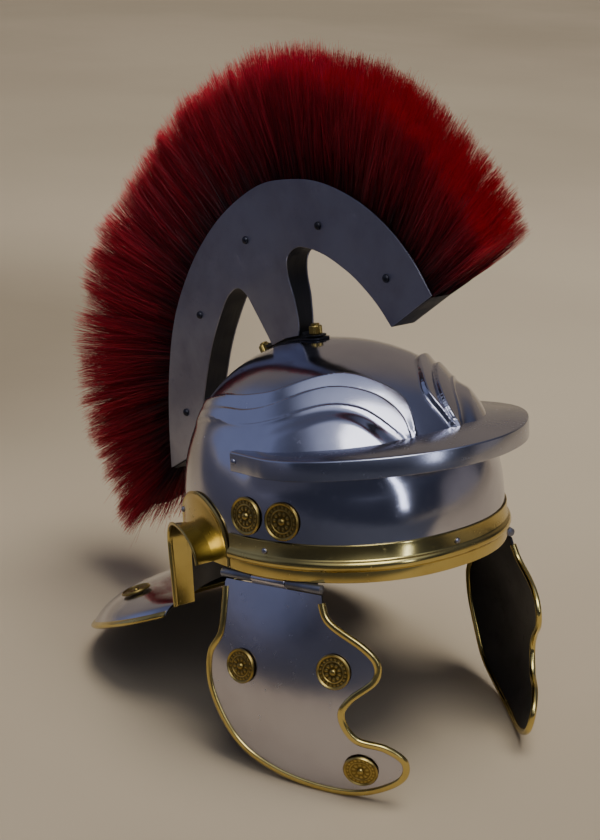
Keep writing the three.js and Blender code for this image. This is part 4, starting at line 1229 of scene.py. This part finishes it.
@dataclass
class Fittings:
    """The brass rosettes and the steel rivets."""

    skin: Skin
    cheeks: CheekGuards
    bowl_radius: float = 12.5
    cheek_radius: float = 11.5
    neck_radius: float = 11.0
    beads: int = 20

    def rosette(self, radius: float) -> bmesh.types.BMesh:
        """A pressed disc: a rolled rim, a ring of beads, petals and a centre boss."""
        bm = turned([(0, 0), (radius, 0)] + [(radius * r, 0.6) for r in np.linspace(1.0, 0.0, 30)], 96)

        def press(p: np.ndarray) -> np.ndarray:
            """Raises the pattern on the upper face."""
            r = np.hypot(p[:, 0], p[:, 1]) / radius
            turn = np.arctan2(p[:, 1], p[:, 0])
            rim = 1.1 * np.exp(-(((r - 0.92) / 0.05) ** 2))
            beads = 0.5 * np.exp(-(((r - 0.74) / 0.06) ** 2)) * (0.5 + 0.5 * np.cos(turn * self.beads))
            ring = 0.45 * np.exp(-(((r - 0.60) / 0.03) ** 2))
            petals = 0.5 * np.exp(-(((r - 0.40) / 0.09) ** 2)) * (0.5 + 0.5 * np.cos(turn * 10))
            boss = 1.9 * np.clip(1 - (r / 0.2) ** 2, 0, 1) ** 0.5
            p[:, 2] += (p[:, 2] > 0.3) * (rim + beads + ring + petals + boss)
            return p

        warp(bm, press)
        hollow = bm.verts.layers.float.new("hollow")
        for vertex in bm.verts:
            vertex[hollow] = 0.8 * float(smooth(vertex.co.z, 0.95, 0.6))
        bmesh.ops.recalc_face_normals(bm, faces=bm.faces)
        return bm

    def dome(self, radius: float) -> bmesh.types.BMesh:
        """A domed rivet head."""
        turn = np.linspace(0, math.pi / 2, 7)
        round_head = [(radius * math.cos(a), 0.25 + radius * 0.7 * math.sin(a)) for a in turn[:-1]]
        return turned([(0, 0), (radius, 0), *round_head, (0, 0.25 + radius * 0.7)], 24)

    def pair(self, bench: Bench, finish: Finish, name: str, node: str, make: Callable[[], bmesh.types.BMesh],
             place: np.ndarray, way: np.ndarray, on_cheek: bool = False, slot: str = "") -> None:
        """Makes a piece on the left and its mirror image on the right.

        Args:
            bench: What finishes the pieces.
            finish: Their finish.
            name: Their name, before the side.
            node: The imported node's name, before the side.
            make: Makes the turned solid.
            place: Where its base stands on the left.
            way: Where its axis points there.
            on_cheek: Whether they move with the cheek guards.
            slot: The record's material slot, if it isn't the finish's name.
        """
        for side in Side:
            body = side.cheek if on_cheek else "helmet"
            bm = mirrored(stand(make(), place, way), side)
            bench.finish(bm, f"{name}_{side.word}", finish, f"{node}_{side.word}", body=body, slot=slot)

    def dress(self, bench: Bench, finishes: Finishes) -> None:
        """Makes every rosette and rivet off the crest."""
        skin, cheeks = self.skin, self.cheeks
        spots = []
        for word, y in (("rear", -31.0), ("front", -58.5)):
            theta, v = skin.angle(y), skin.row(37.0)
            place, way = skin.off(theta, v, 0.3), skin.normal(theta, v)
            spots.append(("bowl", f"_{word}", self.bowl_radius, place, way))
        place, way = skin.off(1.017, 3.44, 0.9), skin.normal(1.017, 3.44)
        spots.append(("neck", "", self.neck_radius, place, way))
        for word, a, d in (("rear", -17.0, 56.0), ("front", 51.0, 50.0), ("chin", 62.0, 118.0)):
            place, way = cheeks.at(a, d, 0.75), cheeks.normal(a, d)
            spots.append(("cheek", f"_{word}", self.cheek_radius, place, way))
        for part, word, radius, place, way in spots:
            self.pair(bench, finishes.old_brass, f"{part}_rosette_pressed{word}", f"{part}_rosette{word}",
                      lambda: self.rosette(radius), place, way, on_cheek=part == "cheek", slot="brass")
        for name, y, z, out in (("rim_rivet_side", -46.0, 16.5, 1.4), ("ear_rivet", 56.0, 22.0, 1.4)):
            theta, v = skin.angle(y), skin.row(z)
            self.pair(bench, finishes.satin, f"{name}_domed", name, lambda: self.dome(2.0),
                      skin.off(theta, v, out), skin.normal(theta, v))
        front = stand(self.dome(2.0), skin.off(-np.pi / 2, skin.row(16.5), 1.4), skin.normal(-np.pi / 2, 1.4))
        bench.finish(front, "rim_rivet_front_domed", finishes.satin, "rim_rivet_front")
        self.pair(bench, finishes.satin, "brow_rivet_domed", "brow_rivet", lambda: self.dome(2.1),
                  np.array((99.5, -19.5, 70.8)), np.array((1.0, 0.0, 0.0)))


# ---------------------------------------------------------------- crest


@dataclass
class Crest:
    """The crest's steel plates, black core, holder, rivets and nuts."""

    skin: Skin
    half_thick: float = 10.0
    plate: float = 1.2
    lean: float = 0.07
    inset: float = 3.0
    outer: Points = ((-114, 175), (-97, 196), (-74, 215), (-45, 230), (-9, 239.5), (25, 240), (60, 234),
                     (100, 214), (132, 188), (156, 159), (174, 127), (185, 88), (190, 48), (191, 11))
    rear_inner: Points = ((148, 33), (144, 62), (136, 90), (125, 118), (108, 147), (98, 157), (89, 160.5),
                          (81, 157), (72, 145), (61, 129), (57, 122.8))
    leg_front: Points = ((42, 129.2), (27, 133))
    front_inner: Points = ((27, 133), (25.5, 141), (28, 159), (32.5, 175), (31, 187), (20, 194.5), (6, 195),
                           (-13, 191), (-35, 182), (-50, 173), (-63, 163), (-75, 151))
    crease: Points = ((84, 162), (33, 190))
    rivets: Points = ((-72, 182), (-5, 211), (77, 195.5), (139, 136), (165, 59))
    strap: Span = (7.0, 81.0)
    strap_half: float = 8.0
    screws: tuple = (("front", 15.0), ("rear", 70.0))
    nut_profile: Points = ((0, 0), (4.0, 0), (4.5, 0.5), (4.5, 5.2), (4.0, 5.8), (3.0, 5.9), (3.0, 7.0),
                           (2.5, 7.4), (0, 7.5))
    washer_profile: Points = ((0, 0), (6.8, 0), (7.1, 0.3), (7.1, 0.8), (6.8, 1.0), (0, 1.0))

    def edge(self, inset: float, count: int) -> tuple[np.ndarray, np.ndarray]:
        """The outer edge in side view, moved in by a distance, and its directions."""
        line = spline(self.outer, count)
        way = unit(np.gradient(line, axis=0))
        return line + np.column_stack([way[:, 1], -way[:, 0]]) * inset, way

    def outline(self, inset: float) -> np.ndarray:
        """The whole plate's outline in side view."""
        rear = spline(self.rear_inner, 56)
        front = spline(self.front_inner, 70)
        return np.vstack([self.edge(inset, 110)[0], rear, np.array(self.leg_front[:1]), front])

    def leaned(self, p: np.ndarray, sign: float) -> np.ndarray:
        """Moves places of the leg in below the crease."""
        (ry, rz), (fy, fz) = self.crease
        along = unit(np.array([fy - ry, fz - rz]))
        below = along[0] * (rz - p[:, 2]) - along[1] * (ry - p[:, 1])
        leg = (p[:, 1] > 24) & (p[:, 1] < 84)
        drop = np.where(leg, np.maximum(-below, 0), 0)
        p[:, 0] -= sign * self.lean * drop
        return p

    def folded(self, bm: bmesh.types.BMesh, drops: Sequence[float]) -> None:
        """Gives a plate the edges that its leg bends at, at distances below the crease."""
        (ry, rz), (fy, fz) = self.crease
        for drop in drops:
            split(bm, (0, ry, rz - drop), (0, fz - rz, ry - fy))

    def side_plate(self, sign: float) -> bmesh.types.BMesh:
        """One steel plate, whose leg closes in towards its foot."""
        near, far = sorted((sign * (self.half_thick - self.plate), sign * self.half_thick))
        bm = slab(self.outline(0.0), near, far, 0.3)
        self.folded(bm, (0.0, 12.0, 28.0))
        return warp(bm, lambda p: self.leaned(p, sign))

    def core(self) -> bmesh.types.BMesh:
        """The black core between the plates."""
        half = self.half_thick - self.plate - 0.1
        line = self.outline(self.inset)
        keep = line[(line[:, 1] > 131.0) | (line[:, 0] > 90)]
        bm = slab(keep, -half, half)

        def pinch(p: np.ndarray) -> np.ndarray:
            """Closes the leg in with the plates."""
            sides = np.sign(p[:, 0])
            moved = self.leaned(np.column_stack([np.abs(p[:, 0]), p[:, 1:]]), 1.0)
            moved[:, 0] = np.maximum(moved[:, 0], 3.5) * sides
            return moved

        self.folded(bm, (0.0,))
        return warp(bm, pinch)

    def holder(self) -> bmesh.types.BMesh:
        """The strap over the crown with its upright tongue."""
        def lay(u: np.ndarray, w: np.ndarray) -> np.ndarray:
            """Lays the strap on the dome, with rounded ends."""
            front, rear = self.strap
            y = front + (rear - front) * w
            end = np.minimum(y - front, rear - y)
            half = self.strap_half - 3.5 * (1 - np.clip(end / 5, 0, 1)) ** 2
            x = (2 * u - 1) * half
            return np.column_stack([x, y, self.skin.crown(x, y) + 1.5])

        strap = grid(12, 60, lay)
        faced(strap, (0.0, 0.0, 1.0))
        bmesh.ops.solidify(strap, geom=strap.faces, thickness=1.2)
        return strap

    def tongue(self) -> bmesh.types.BMesh:
        """The black upright between the plates' feet, curved out to the strap at both ends."""
        foot = spline([(16, 133.0), (23, 133.6), (28, 136.5), (30, 141)], 8)
        back = spline([(57, 131.5), (59, 127), (63, 123.8), (70, 120.5)], 8)
        under = np.array([(68, 119), (43, 127.5), (18, 131)])
        return slab(np.vstack([foot, back, under]), -3.6, 3.6, 0.8)

    def nut(self) -> bmesh.types.BMesh:
        """A knurled brass nut."""
        bm = turned(self.nut_profile, 48)

        def knurl(p: np.ndarray) -> np.ndarray:
            """Cuts the grip into the widest part."""
            wide = np.hypot(p[:, 0], p[:, 1]) > 4.2
            cut = 1 - 0.07 * wide * (np.cos(np.arctan2(p[:, 1], p[:, 0]) * 24) < 0)
            return p * np.column_stack([cut, cut, np.ones(len(p))])

        return warp(bm, knurl)

    def seat(self, y: float) -> tuple[np.ndarray, np.ndarray]:
        """The place and direction of a screw through the strap."""
        height = float(self.skin.crown(np.array([0.0]), np.array([y]))[0])
        theta, v = math.pi / 2, self.skin.row(height)
        return self.skin.off(theta, v, 2.1), self.skin.normal(theta, v)

    def dress(self, bench: Bench, finishes: Finishes, fittings: Fittings) -> None:
        """Makes the crest without its hair."""
        for side in Side:
            bench.finish(self.side_plate(side.value), f"crest_plate_eased_{side.word}", finishes.satin,
                         f"crest_plate_{side.word}", crease=20)
        bench.finish(self.core(), "crest_core_shaped", finishes.black, "crest_core", crease=30)
        bench.finish(self.holder(), "crest_holder_strap", finishes.inner, "crest_holder", crease=40,
                     slot="black_wood")
        bench.finish(self.tongue(), "crest_holder_tongue", finishes.black, crease=40)
        out = self.half_thick + 0.05
        for number, (y, z) in enumerate(self.rivets, 1):
            heads = [stand(fittings.dome(2.8), (sign * out, y, z), (sign, 0, 0)) for sign in (-1, 1)]
            bench.finish(joined(heads), f"crest_rivet_domed_{number}", finishes.inner,
                         f"crest_rivet_{number}", slot="satin_steel")
        for word, y in self.screws:
            place, way = self.seat(y)
            bench.finish(stand(turned(self.washer_profile, 40), place, way), f"crest_washer_turned_{word}",
                         finishes.inner, f"crest_washer_{word}", slot="dark_steel")
            bench.finish(stand(self.nut(), place + way * 1.3, way), f"crest_nut_knurled_{word}",
                         finishes.old_brass, f"crest_nut_{word}", crease=25, slot="brass")


# ---------------------------------------------------------------- plume


@dataclass
class Plume:
    """The horsehair: a bulk on the core, painted dark as the shade inside the hair, and strands in clumps
    over it.
    """

    crest: Crest
    hair: float = 89.0
    rear_spread: float = 18.0
    rear_fan: float = 1.0
    strands: int = 18500
    sheaves: int = 4
    segments: int = 4
    width: float = 0.42
    seed: int = 7
    tufts: int = 520
    outer_share: float = 0.62
    short_share: float = 0.35
    stray_share: float = 0.03

    def root(self, u: np.ndarray) -> tuple[np.ndarray, np.ndarray, np.ndarray]:
        """The places, outward ways and directions along the crest's edge at shares of its length."""
        stations = 400
        line, way = self.crest.edge(self.crest.inset - 0.3, stations)
        marks = np.arange(stations)
        index = np.clip(u, 0, 1) * marks[-1]
        at, along = read(line, index, marks), unit(read(way, index, marks))
        turn = 0.16 * (1 - u) ** 14 - self.rear_fan * u**7
        up = np.column_stack([-along[:, 1], along[:, 0]])
        c, s = np.cos(turn), np.sin(turn)
        return at, np.column_stack([c * up[:, 0] - s * up[:, 1], s * up[:, 0] + c * up[:, 1]]), along

    def reach(self, u: np.ndarray) -> np.ndarray:
        """The hair's length along the crest."""
        bushy = (0.08 * smooth(u, 0.5, 0.75) + 0.09 * np.exp(-(((u - 0.8) / 0.08) ** 2))
                 - 0.26 * smooth(u, 0.88, 1.0))
        return self.hair * (1 - 0.14 * (1 - u) ** 8 + bushy)

    def breadth(self, u: np.ndarray, r: np.ndarray) -> np.ndarray:
        """The hair's half width along the crest and out from it, r being a share of its length."""
        plain = np.interp(r, [0, 0.05, 0.66, 0.92, 1.0], [8.2, 8.4, 16.0, 18.5, 17.0])
        loose = np.interp(r, [0, 0.05, 0.66, 0.92, 1.0], [0, 0, 0.8, 1.0, 1.0])
        return plain + loose * self.rear_spread * smooth(u, 0.5, 0.8)

    def bulk(self) -> bmesh.types.BMesh:
        """The dense middle of the hair, which the strands hide."""
        def lay(u: np.ndarray, w: np.ndarray) -> np.ndarray:
            """Lays a closed section at each station."""
            turn = 2 * np.pi * w
            r = 0.38 + 0.34 * np.cos(turn)
            ripple = 1 + 0.03 * np.sin(u * 230 + 3 * np.sin(u * 31)) * r
            share = np.sin(turn) * np.clip(1 - ((r - 0.4) / 0.5) ** 4 * 0.25, 0, 1)
            at, up, _ = self.root(0.012 + 0.976 * u)
            x = share * self.breadth(u, r) * 0.88 * ripple
            return np.column_stack([x, at + up * (r * self.reach(u) * ripple)[:, None]])

        bm = grid(260, 36, lay)
        bmesh.ops.holes_fill(bm, edges=[e for e in bm.edges if e.is_boundary], sides=0)
        bmesh.ops.triangulate(bm, faces=[f for f in bm.faces if len(f.verts) > 4])
        bmesh.ops.recalc_face_normals(bm, faces=bm.faces)
        return bm

    def strand_paths(self, rng: np.random.Generator, count: int) -> tuple[np.ndarray, np.ndarray]:
        """Where strands run.

        Args:
            rng: The seeded source of chance.
            count: How many strands.

        Returns:
            The places by strand and step, and each strand's shade.
        """
        u = rng.uniform(0, 1, count)
        outer = rng.uniform(0, 1, count) < self.outer_share
        p = np.where(outer, rng.choice([-1, 1], count) * (1 - 0.25 * rng.uniform(0, 1, count) ** 2),
                     rng.uniform(-0.95, 0.95, count))
        tufts = self.tufts
        tuft_u, tuft_p = rng.uniform(0, 1, tufts), rng.uniform(-1, 1, tufts)
        own = np.empty(count, int)
        for start in range(0, count, 2000):
            some = slice(start, start + 2000)
            gap = ((u[some, None] - tuft_u) * 26) ** 2 + ((p[some, None] - tuft_p) * 1.6) ** 2
            own[some] = gap.argmin(1)
        pull = rng.uniform(0.25, 0.75, count)
        tip_u = u + (tuft_u[own] - u) * pull
        tip_p = p + (tuft_p[own] - p) * pull * 0.6
        lean = 6.0 * np.sin(15.0 * u + 1.2) + 4.0 * np.sin(41.0 * u + 2.0 * p)
        sway = lean + rng.normal(0, 4.0, tufts)[own] + rng.normal(0, 1.6, count)
        aside = rng.normal(0, 2.0, tufts)[own] + rng.normal(0, 1.3, count) + 2.5 * np.sin(23.0 * u)
        uneven = 1 + 0.025 * np.sin(37.0 * u + 1.0) + rng.normal(0, 0.03, tufts)[own]
        length = self.reach(u) * uneven * (1.0 - 0.11 * np.abs(p) ** 3)
        length *= np.where(rng.uniform(0, 1, count) < self.short_share, rng.uniform(0.55, 0.98, count),
                           rng.uniform(0.95, 1.03, count))
        stray = rng.uniform(0, 1, count) < self.stray_share
        sway = np.where(stray, sway * 2.6, sway)
        length = np.where(stray, length * 1.03, length)
        t = np.linspace(0, 1, self.segments + 1)
        places = np.empty((count, len(t), 3))
        phase = rng.uniform(0, 2 * np.pi, tufts)[own] + rng.normal(0, 0.5, count)
        wave = rng.uniform(0.4, 2.4, tufts)[own] + rng.uniform(0.0, 0.5, count)
        for k, share in enumerate(t):
            bend = share**1.6
            now_u, now_p = u + (tip_u - u) * bend, p + (tip_p - p) * bend
            at, up, along = self.root(now_u)
            r = share * length
            shift = sway * bend + wave * share * np.sin(phase + 5.0 * share)
            loose = (aside + wave * np.cos(phase + 4 * share)) * bend
            x = now_p * self.breadth(now_u, r / self.reach(now_u)) + loose
            places[:, k] = np.column_stack([x, at + up * r[:, None] + along * shift[:, None]])
        shade = rng.normal(0.52, 0.2, count) + rng.normal(0, 0.14, tufts)[own]
        # Strands are made darker towards the rear end and the front end of the crest.
        return places, np.clip(shade - 0.32 * smooth(u, 0.8, 0.97) - 0.12 * (1 - u) ** 8, 0, 1)

    def sheaf(self, number: int) -> tuple[bpy.types.Mesh, np.ndarray, np.ndarray]:
        """One sheaf of strands, each a flat ribbon that narrows to its tip.

        Args:
            number: Which sheaf.

        Returns:
            Its mesh in the helmet's frame, and the two numbers that its finish reads, by vertex.
        """
        rng = np.random.default_rng(self.seed + number)
        places, shade = self.strand_paths(rng, self.strands)
        way = unit(np.gradient(places, axis=1))
        twist = rng.uniform(0, 2 * np.pi, self.strands)[:, None, None]
        flat = unit(np.cross(way, np.broadcast_to(np.array([0.0, 0.35, 1.0]), way.shape)))
        lateral = unit(flat * np.cos(twist) + np.cross(way, flat) * np.sin(twist))
        share = np.linspace(0, 1, self.segments + 1)
        half = self.width / 2 * (1.0 - 0.8 * share**2)[None, :, None]
        bm = bmesh.new()
        columns = 2 * self.strands
        bmesh.ops.create_grid(bm, x_segments=columns - 1, y_segments=self.segments, size=1.0)
        gaps = [f for f in bm.faces if int((f.calc_center_bounds().x + 1) / 2 * (columns - 1)) % 2]
        bmesh.ops.delete(bm, geom=gaps, context="FACES")
        mesh = bpy.data.meshes.new(f"plume_strands_{number}")
        bm.to_mesh(mesh)
        bm.free()
        flat_places = np.empty(len(mesh.vertices) * 3, np.float32)
        mesh.vertices.foreach_get("co", flat_places)
        grid_places = flat_places.reshape(-1, 3)
        column = np.rint((grid_places[:, 0] + 1) / 2 * (columns - 1)).astype(int)
        step = np.rint((grid_places[:, 1] + 1) / 2 * self.segments).astype(int)
        strand, edge = column // 2, (column % 2) * 2 - 1
        moved = places[strand, step] + lateral[strand, step] * half[0, step] * edge[:, None]
        mesh.vertices.foreach_set("co", moved.astype(np.float32).ravel())
        return mesh, share[step], shade[strand]

    def dress(self, bench: Bench, finishes: Finishes) -> None:
        """Makes the bulk and the sheaves."""
        bulk = bench.finish(self.bulk(), "plume_bulk", finishes.hair, "plume", crease=80)
        # The bulk takes the dark root colour all over: painted shade inside the hair.
        self.store(bulk, np.full(len(bulk.data.vertices), 0.06), np.full(len(bulk.data.vertices), 0.4))
        for number in range(self.sheaves):
            mesh, along, shade = self.sheaf(number)
            bm = bmesh.new()
            bm.from_mesh(mesh)
            bpy.data.meshes.remove(mesh)
            piece = bench.finish(bm, f"plume_strands_{number + 1}", finishes.hair, crease=180)
            self.store(piece, along, shade)

    def store(self, piece: bpy.types.Object, along: np.ndarray, shade: np.ndarray) -> None:
        """Keeps how far along the hair each vertex is, and its strand's shade."""
        for name, values in (("along", along), ("shade", shade)):
            layer = piece.data.attributes.new(name, "FLOAT", "POINT")
            layer.data.foreach_set("value", np.asarray(values, np.float32))


# ---------------------------------------------------------------- studio


@dataclass(frozen=True)
class Sun:
    """One broad far light, which polished metal or dull surfaces may be spared. Angles are in degrees."""

    name: str
    azimuth: float
    elevation: float
    spread: float
    strength: float
    colour: tuple[float, float, float] = (1.0, 1.0, 1.0)
    on_metal: bool = True
    on_cloth: bool = True

    def hang(self) -> None:
        """Puts the light in the scene."""
        data = bpy.data.lights.new(self.name, "SUN")
        data.energy, data.angle, data.color = self.strength, math.radians(self.spread), self.colour
        turn = bearing(self.azimuth, self.elevation).to_track_quat("Z", "Y").to_matrix().to_4x4()
        lamp = placed(self.name, data, turn)
        lamp.visible_glossy = self.on_metal
        lamp.visible_diffuse = self.on_cloth


@dataclass(frozen=True)
class Patch:
    """A soft round patch of the room, which fades from its inner angle to its outer one, in degrees."""

    azimuth: float
    elevation: float
    inner: float
    outer: float
    colour: Colour = (0.0, 0.0, 0.0, 1)

    def glow(self, g: Graph, way: Val) -> Val:
        """A number from 0 outside the patch to 1 in its middle, for the direction looked in."""
        dot = g.pair("DOT_PRODUCT", way, tuple(bearing(self.azimuth, self.elevation)))
        return dot.step(math.cos(math.radians(self.outer)), math.cos(math.radians(self.inner)))


@dataclass
class Studio:
    """The paper floor, the soft lights and the camera."""

    azimuth: float = -38.92
    elevation: float = 19.69
    roll: float = 2.36
    place: tuple[float, float, float] = (-0.7267, -0.9224, 0.6079)
    lens: float = 75.34
    floor_half: float = 14.0
    paper: Paper = Paper("paper", (0.74, 0.61, 0.43, 1), (0.40, 0.32, 0.215, 1))
    suns: tuple[Sun, ...] = (
        Sun("ceiling", -26.0, 58.0, 36.0, 1.1, on_cloth=False),
        Sun("fill", -32.0, 60.0, 40.0, 0.25, on_metal=False),
        Sun("side", 30.0, 78.0, 34.0, 1.8, (1.0, 0.97, 0.92), on_metal=False),
    )
    patches: tuple[Patch, ...] = (
        Patch(140, 8, 25, 60, (0.24, 0.20, 0.17, 1)),
        Patch(-140, 10, 20, 45, (0.20, 0.23, 0.38, 1)),
        Patch(52, 0, 8, 24, (0.22, 0.20, 0.21, 1)),
        Patch(-30, 60, 18, 48, (0.55, 0.60, 0.80, 1)),
    )
    shadow: Patch = Patch(-50, 0, 40, 75)

    def floor(self) -> None:
        """The paper under the helmet."""
        bm = bmesh.new()
        bmesh.ops.create_grid(bm, x_segments=8, y_segments=8, size=self.floor_half)
        mesh = bpy.data.meshes.new("floor")
        bm.to_mesh(mesh)
        bm.free()
        mesh.materials.append(self.paper.paint())
        placed("floor", mesh)

    def lamp(self, name: str, place: tuple, aim: tuple, size: tuple, power: float, colour: tuple) -> None:
        """One soft rectangular light.

        Args:
            name: Its name.
            place: Where it hangs.
            aim: The place it faces.
            size: Its two sides.
            power: Its power in watts.
            colour: Its colour.
        """
        data = bpy.data.lights.new(name, "AREA")
        data.shape = "RECTANGLE"
        data.size, data.size_y = size
        data.energy = power
        data.color = colour
        turn = (Vector(aim) - Vector(place)).to_track_quat("-Z", "Y").to_matrix().to_4x4()
        placed(name, data, Matrix.Translation(Vector(place)) @ turn)

    def sky(self) -> None:
        """A dim room with soft bright patches, pale along the floor except before the helmet's right."""
        world = bpy.data.worlds.new("room")
        bpy.context.scene.world = world
        g = Graph(world)
        way = g.node("ShaderNodeTexCoord", out="Generated")
        up = g.node("ShaderNodeSeparateXYZ", None, {"Vector": way}, out="Z")
        colour = g.mix(up.step(0.2, 0.9), (0.030, 0.033, 0.050, 1), (0.10, 0.11, 0.17, 1))
        for patch in self.patches:
            colour = g.mix(patch.glow(g, way), colour, patch.colour)
        dark = self.shadow.glow(g, way)
        colour = g.mix(up.step(0.03, 0.0) * (1 - dark), colour, (0.31, 0.26, 0.20, 1))
        spread = g.node("ShaderNodeLightPath", out="Is Diffuse Ray")
        background = g.node("ShaderNodeBackground", None, {"Color": colour, "Strength": 1 - spread * 0.62})
        g.node("ShaderNodeOutputWorld", None, {"Surface": background})

    def camera(self) -> None:
        """The camera."""
        a, r = math.radians(self.azimuth), math.radians(self.roll)
        back = bearing(self.azimuth, self.elevation)
        right = Vector((math.cos(a), math.sin(a), 0))
        up = back.cross(right)
        right, up = math.cos(r) * right + math.sin(r) * up, math.cos(r) * up - math.sin(r) * right
        data = bpy.data.cameras.new("camera")
        data.sensor_fit = "VERTICAL"
        data.sensor_height = 36.0
        data.lens = self.lens
        turn = Matrix((right, up, back)).transposed().to_4x4()
        bpy.context.scene.camera = placed("camera", data, Matrix.Translation(Vector(self.place)) @ turn)

    def dress(self) -> None:
        """Sets up the whole studio."""
        self.camera()
        self.floor()
        self.sky()
        for sun in self.suns:
            sun.hang()
        self.lamp("window", (0.0, -1.8, 0.75), (0.0, -0.1, 0.2), (0.16, 0.7), 2.0, (0.75, 0.80, 1.0))


# ---------------------------------------------------------------- assembly


def main() -> None:
    """Builds the helmet and its studio."""
    logging.basicConfig(level=logging.INFO, format="%(name)s: %(message)s")
    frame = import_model()
    bench = Bench(frame)
    finishes = Finishes()
    skin = Skin()
    Studio().dress()
    Bowl(skin, Eyebrows()).dress(bench, finishes)
    Trim(skin).dress(bench, finishes)
    EarGuards(skin).dress(bench, finishes)
    cheeks = CheekGuards(skin)
    cheeks.dress(bench, finishes)
    fittings = Fittings(skin, cheeks)
    fittings.dress(bench, finishes)
    crest = Crest(skin)
    crest.dress(bench, finishes, fittings)
    Plume(crest).dress(bench, finishes)
    log.info("in all: %d triangles", bench.count)


if __name__ == "__main__":
    main()
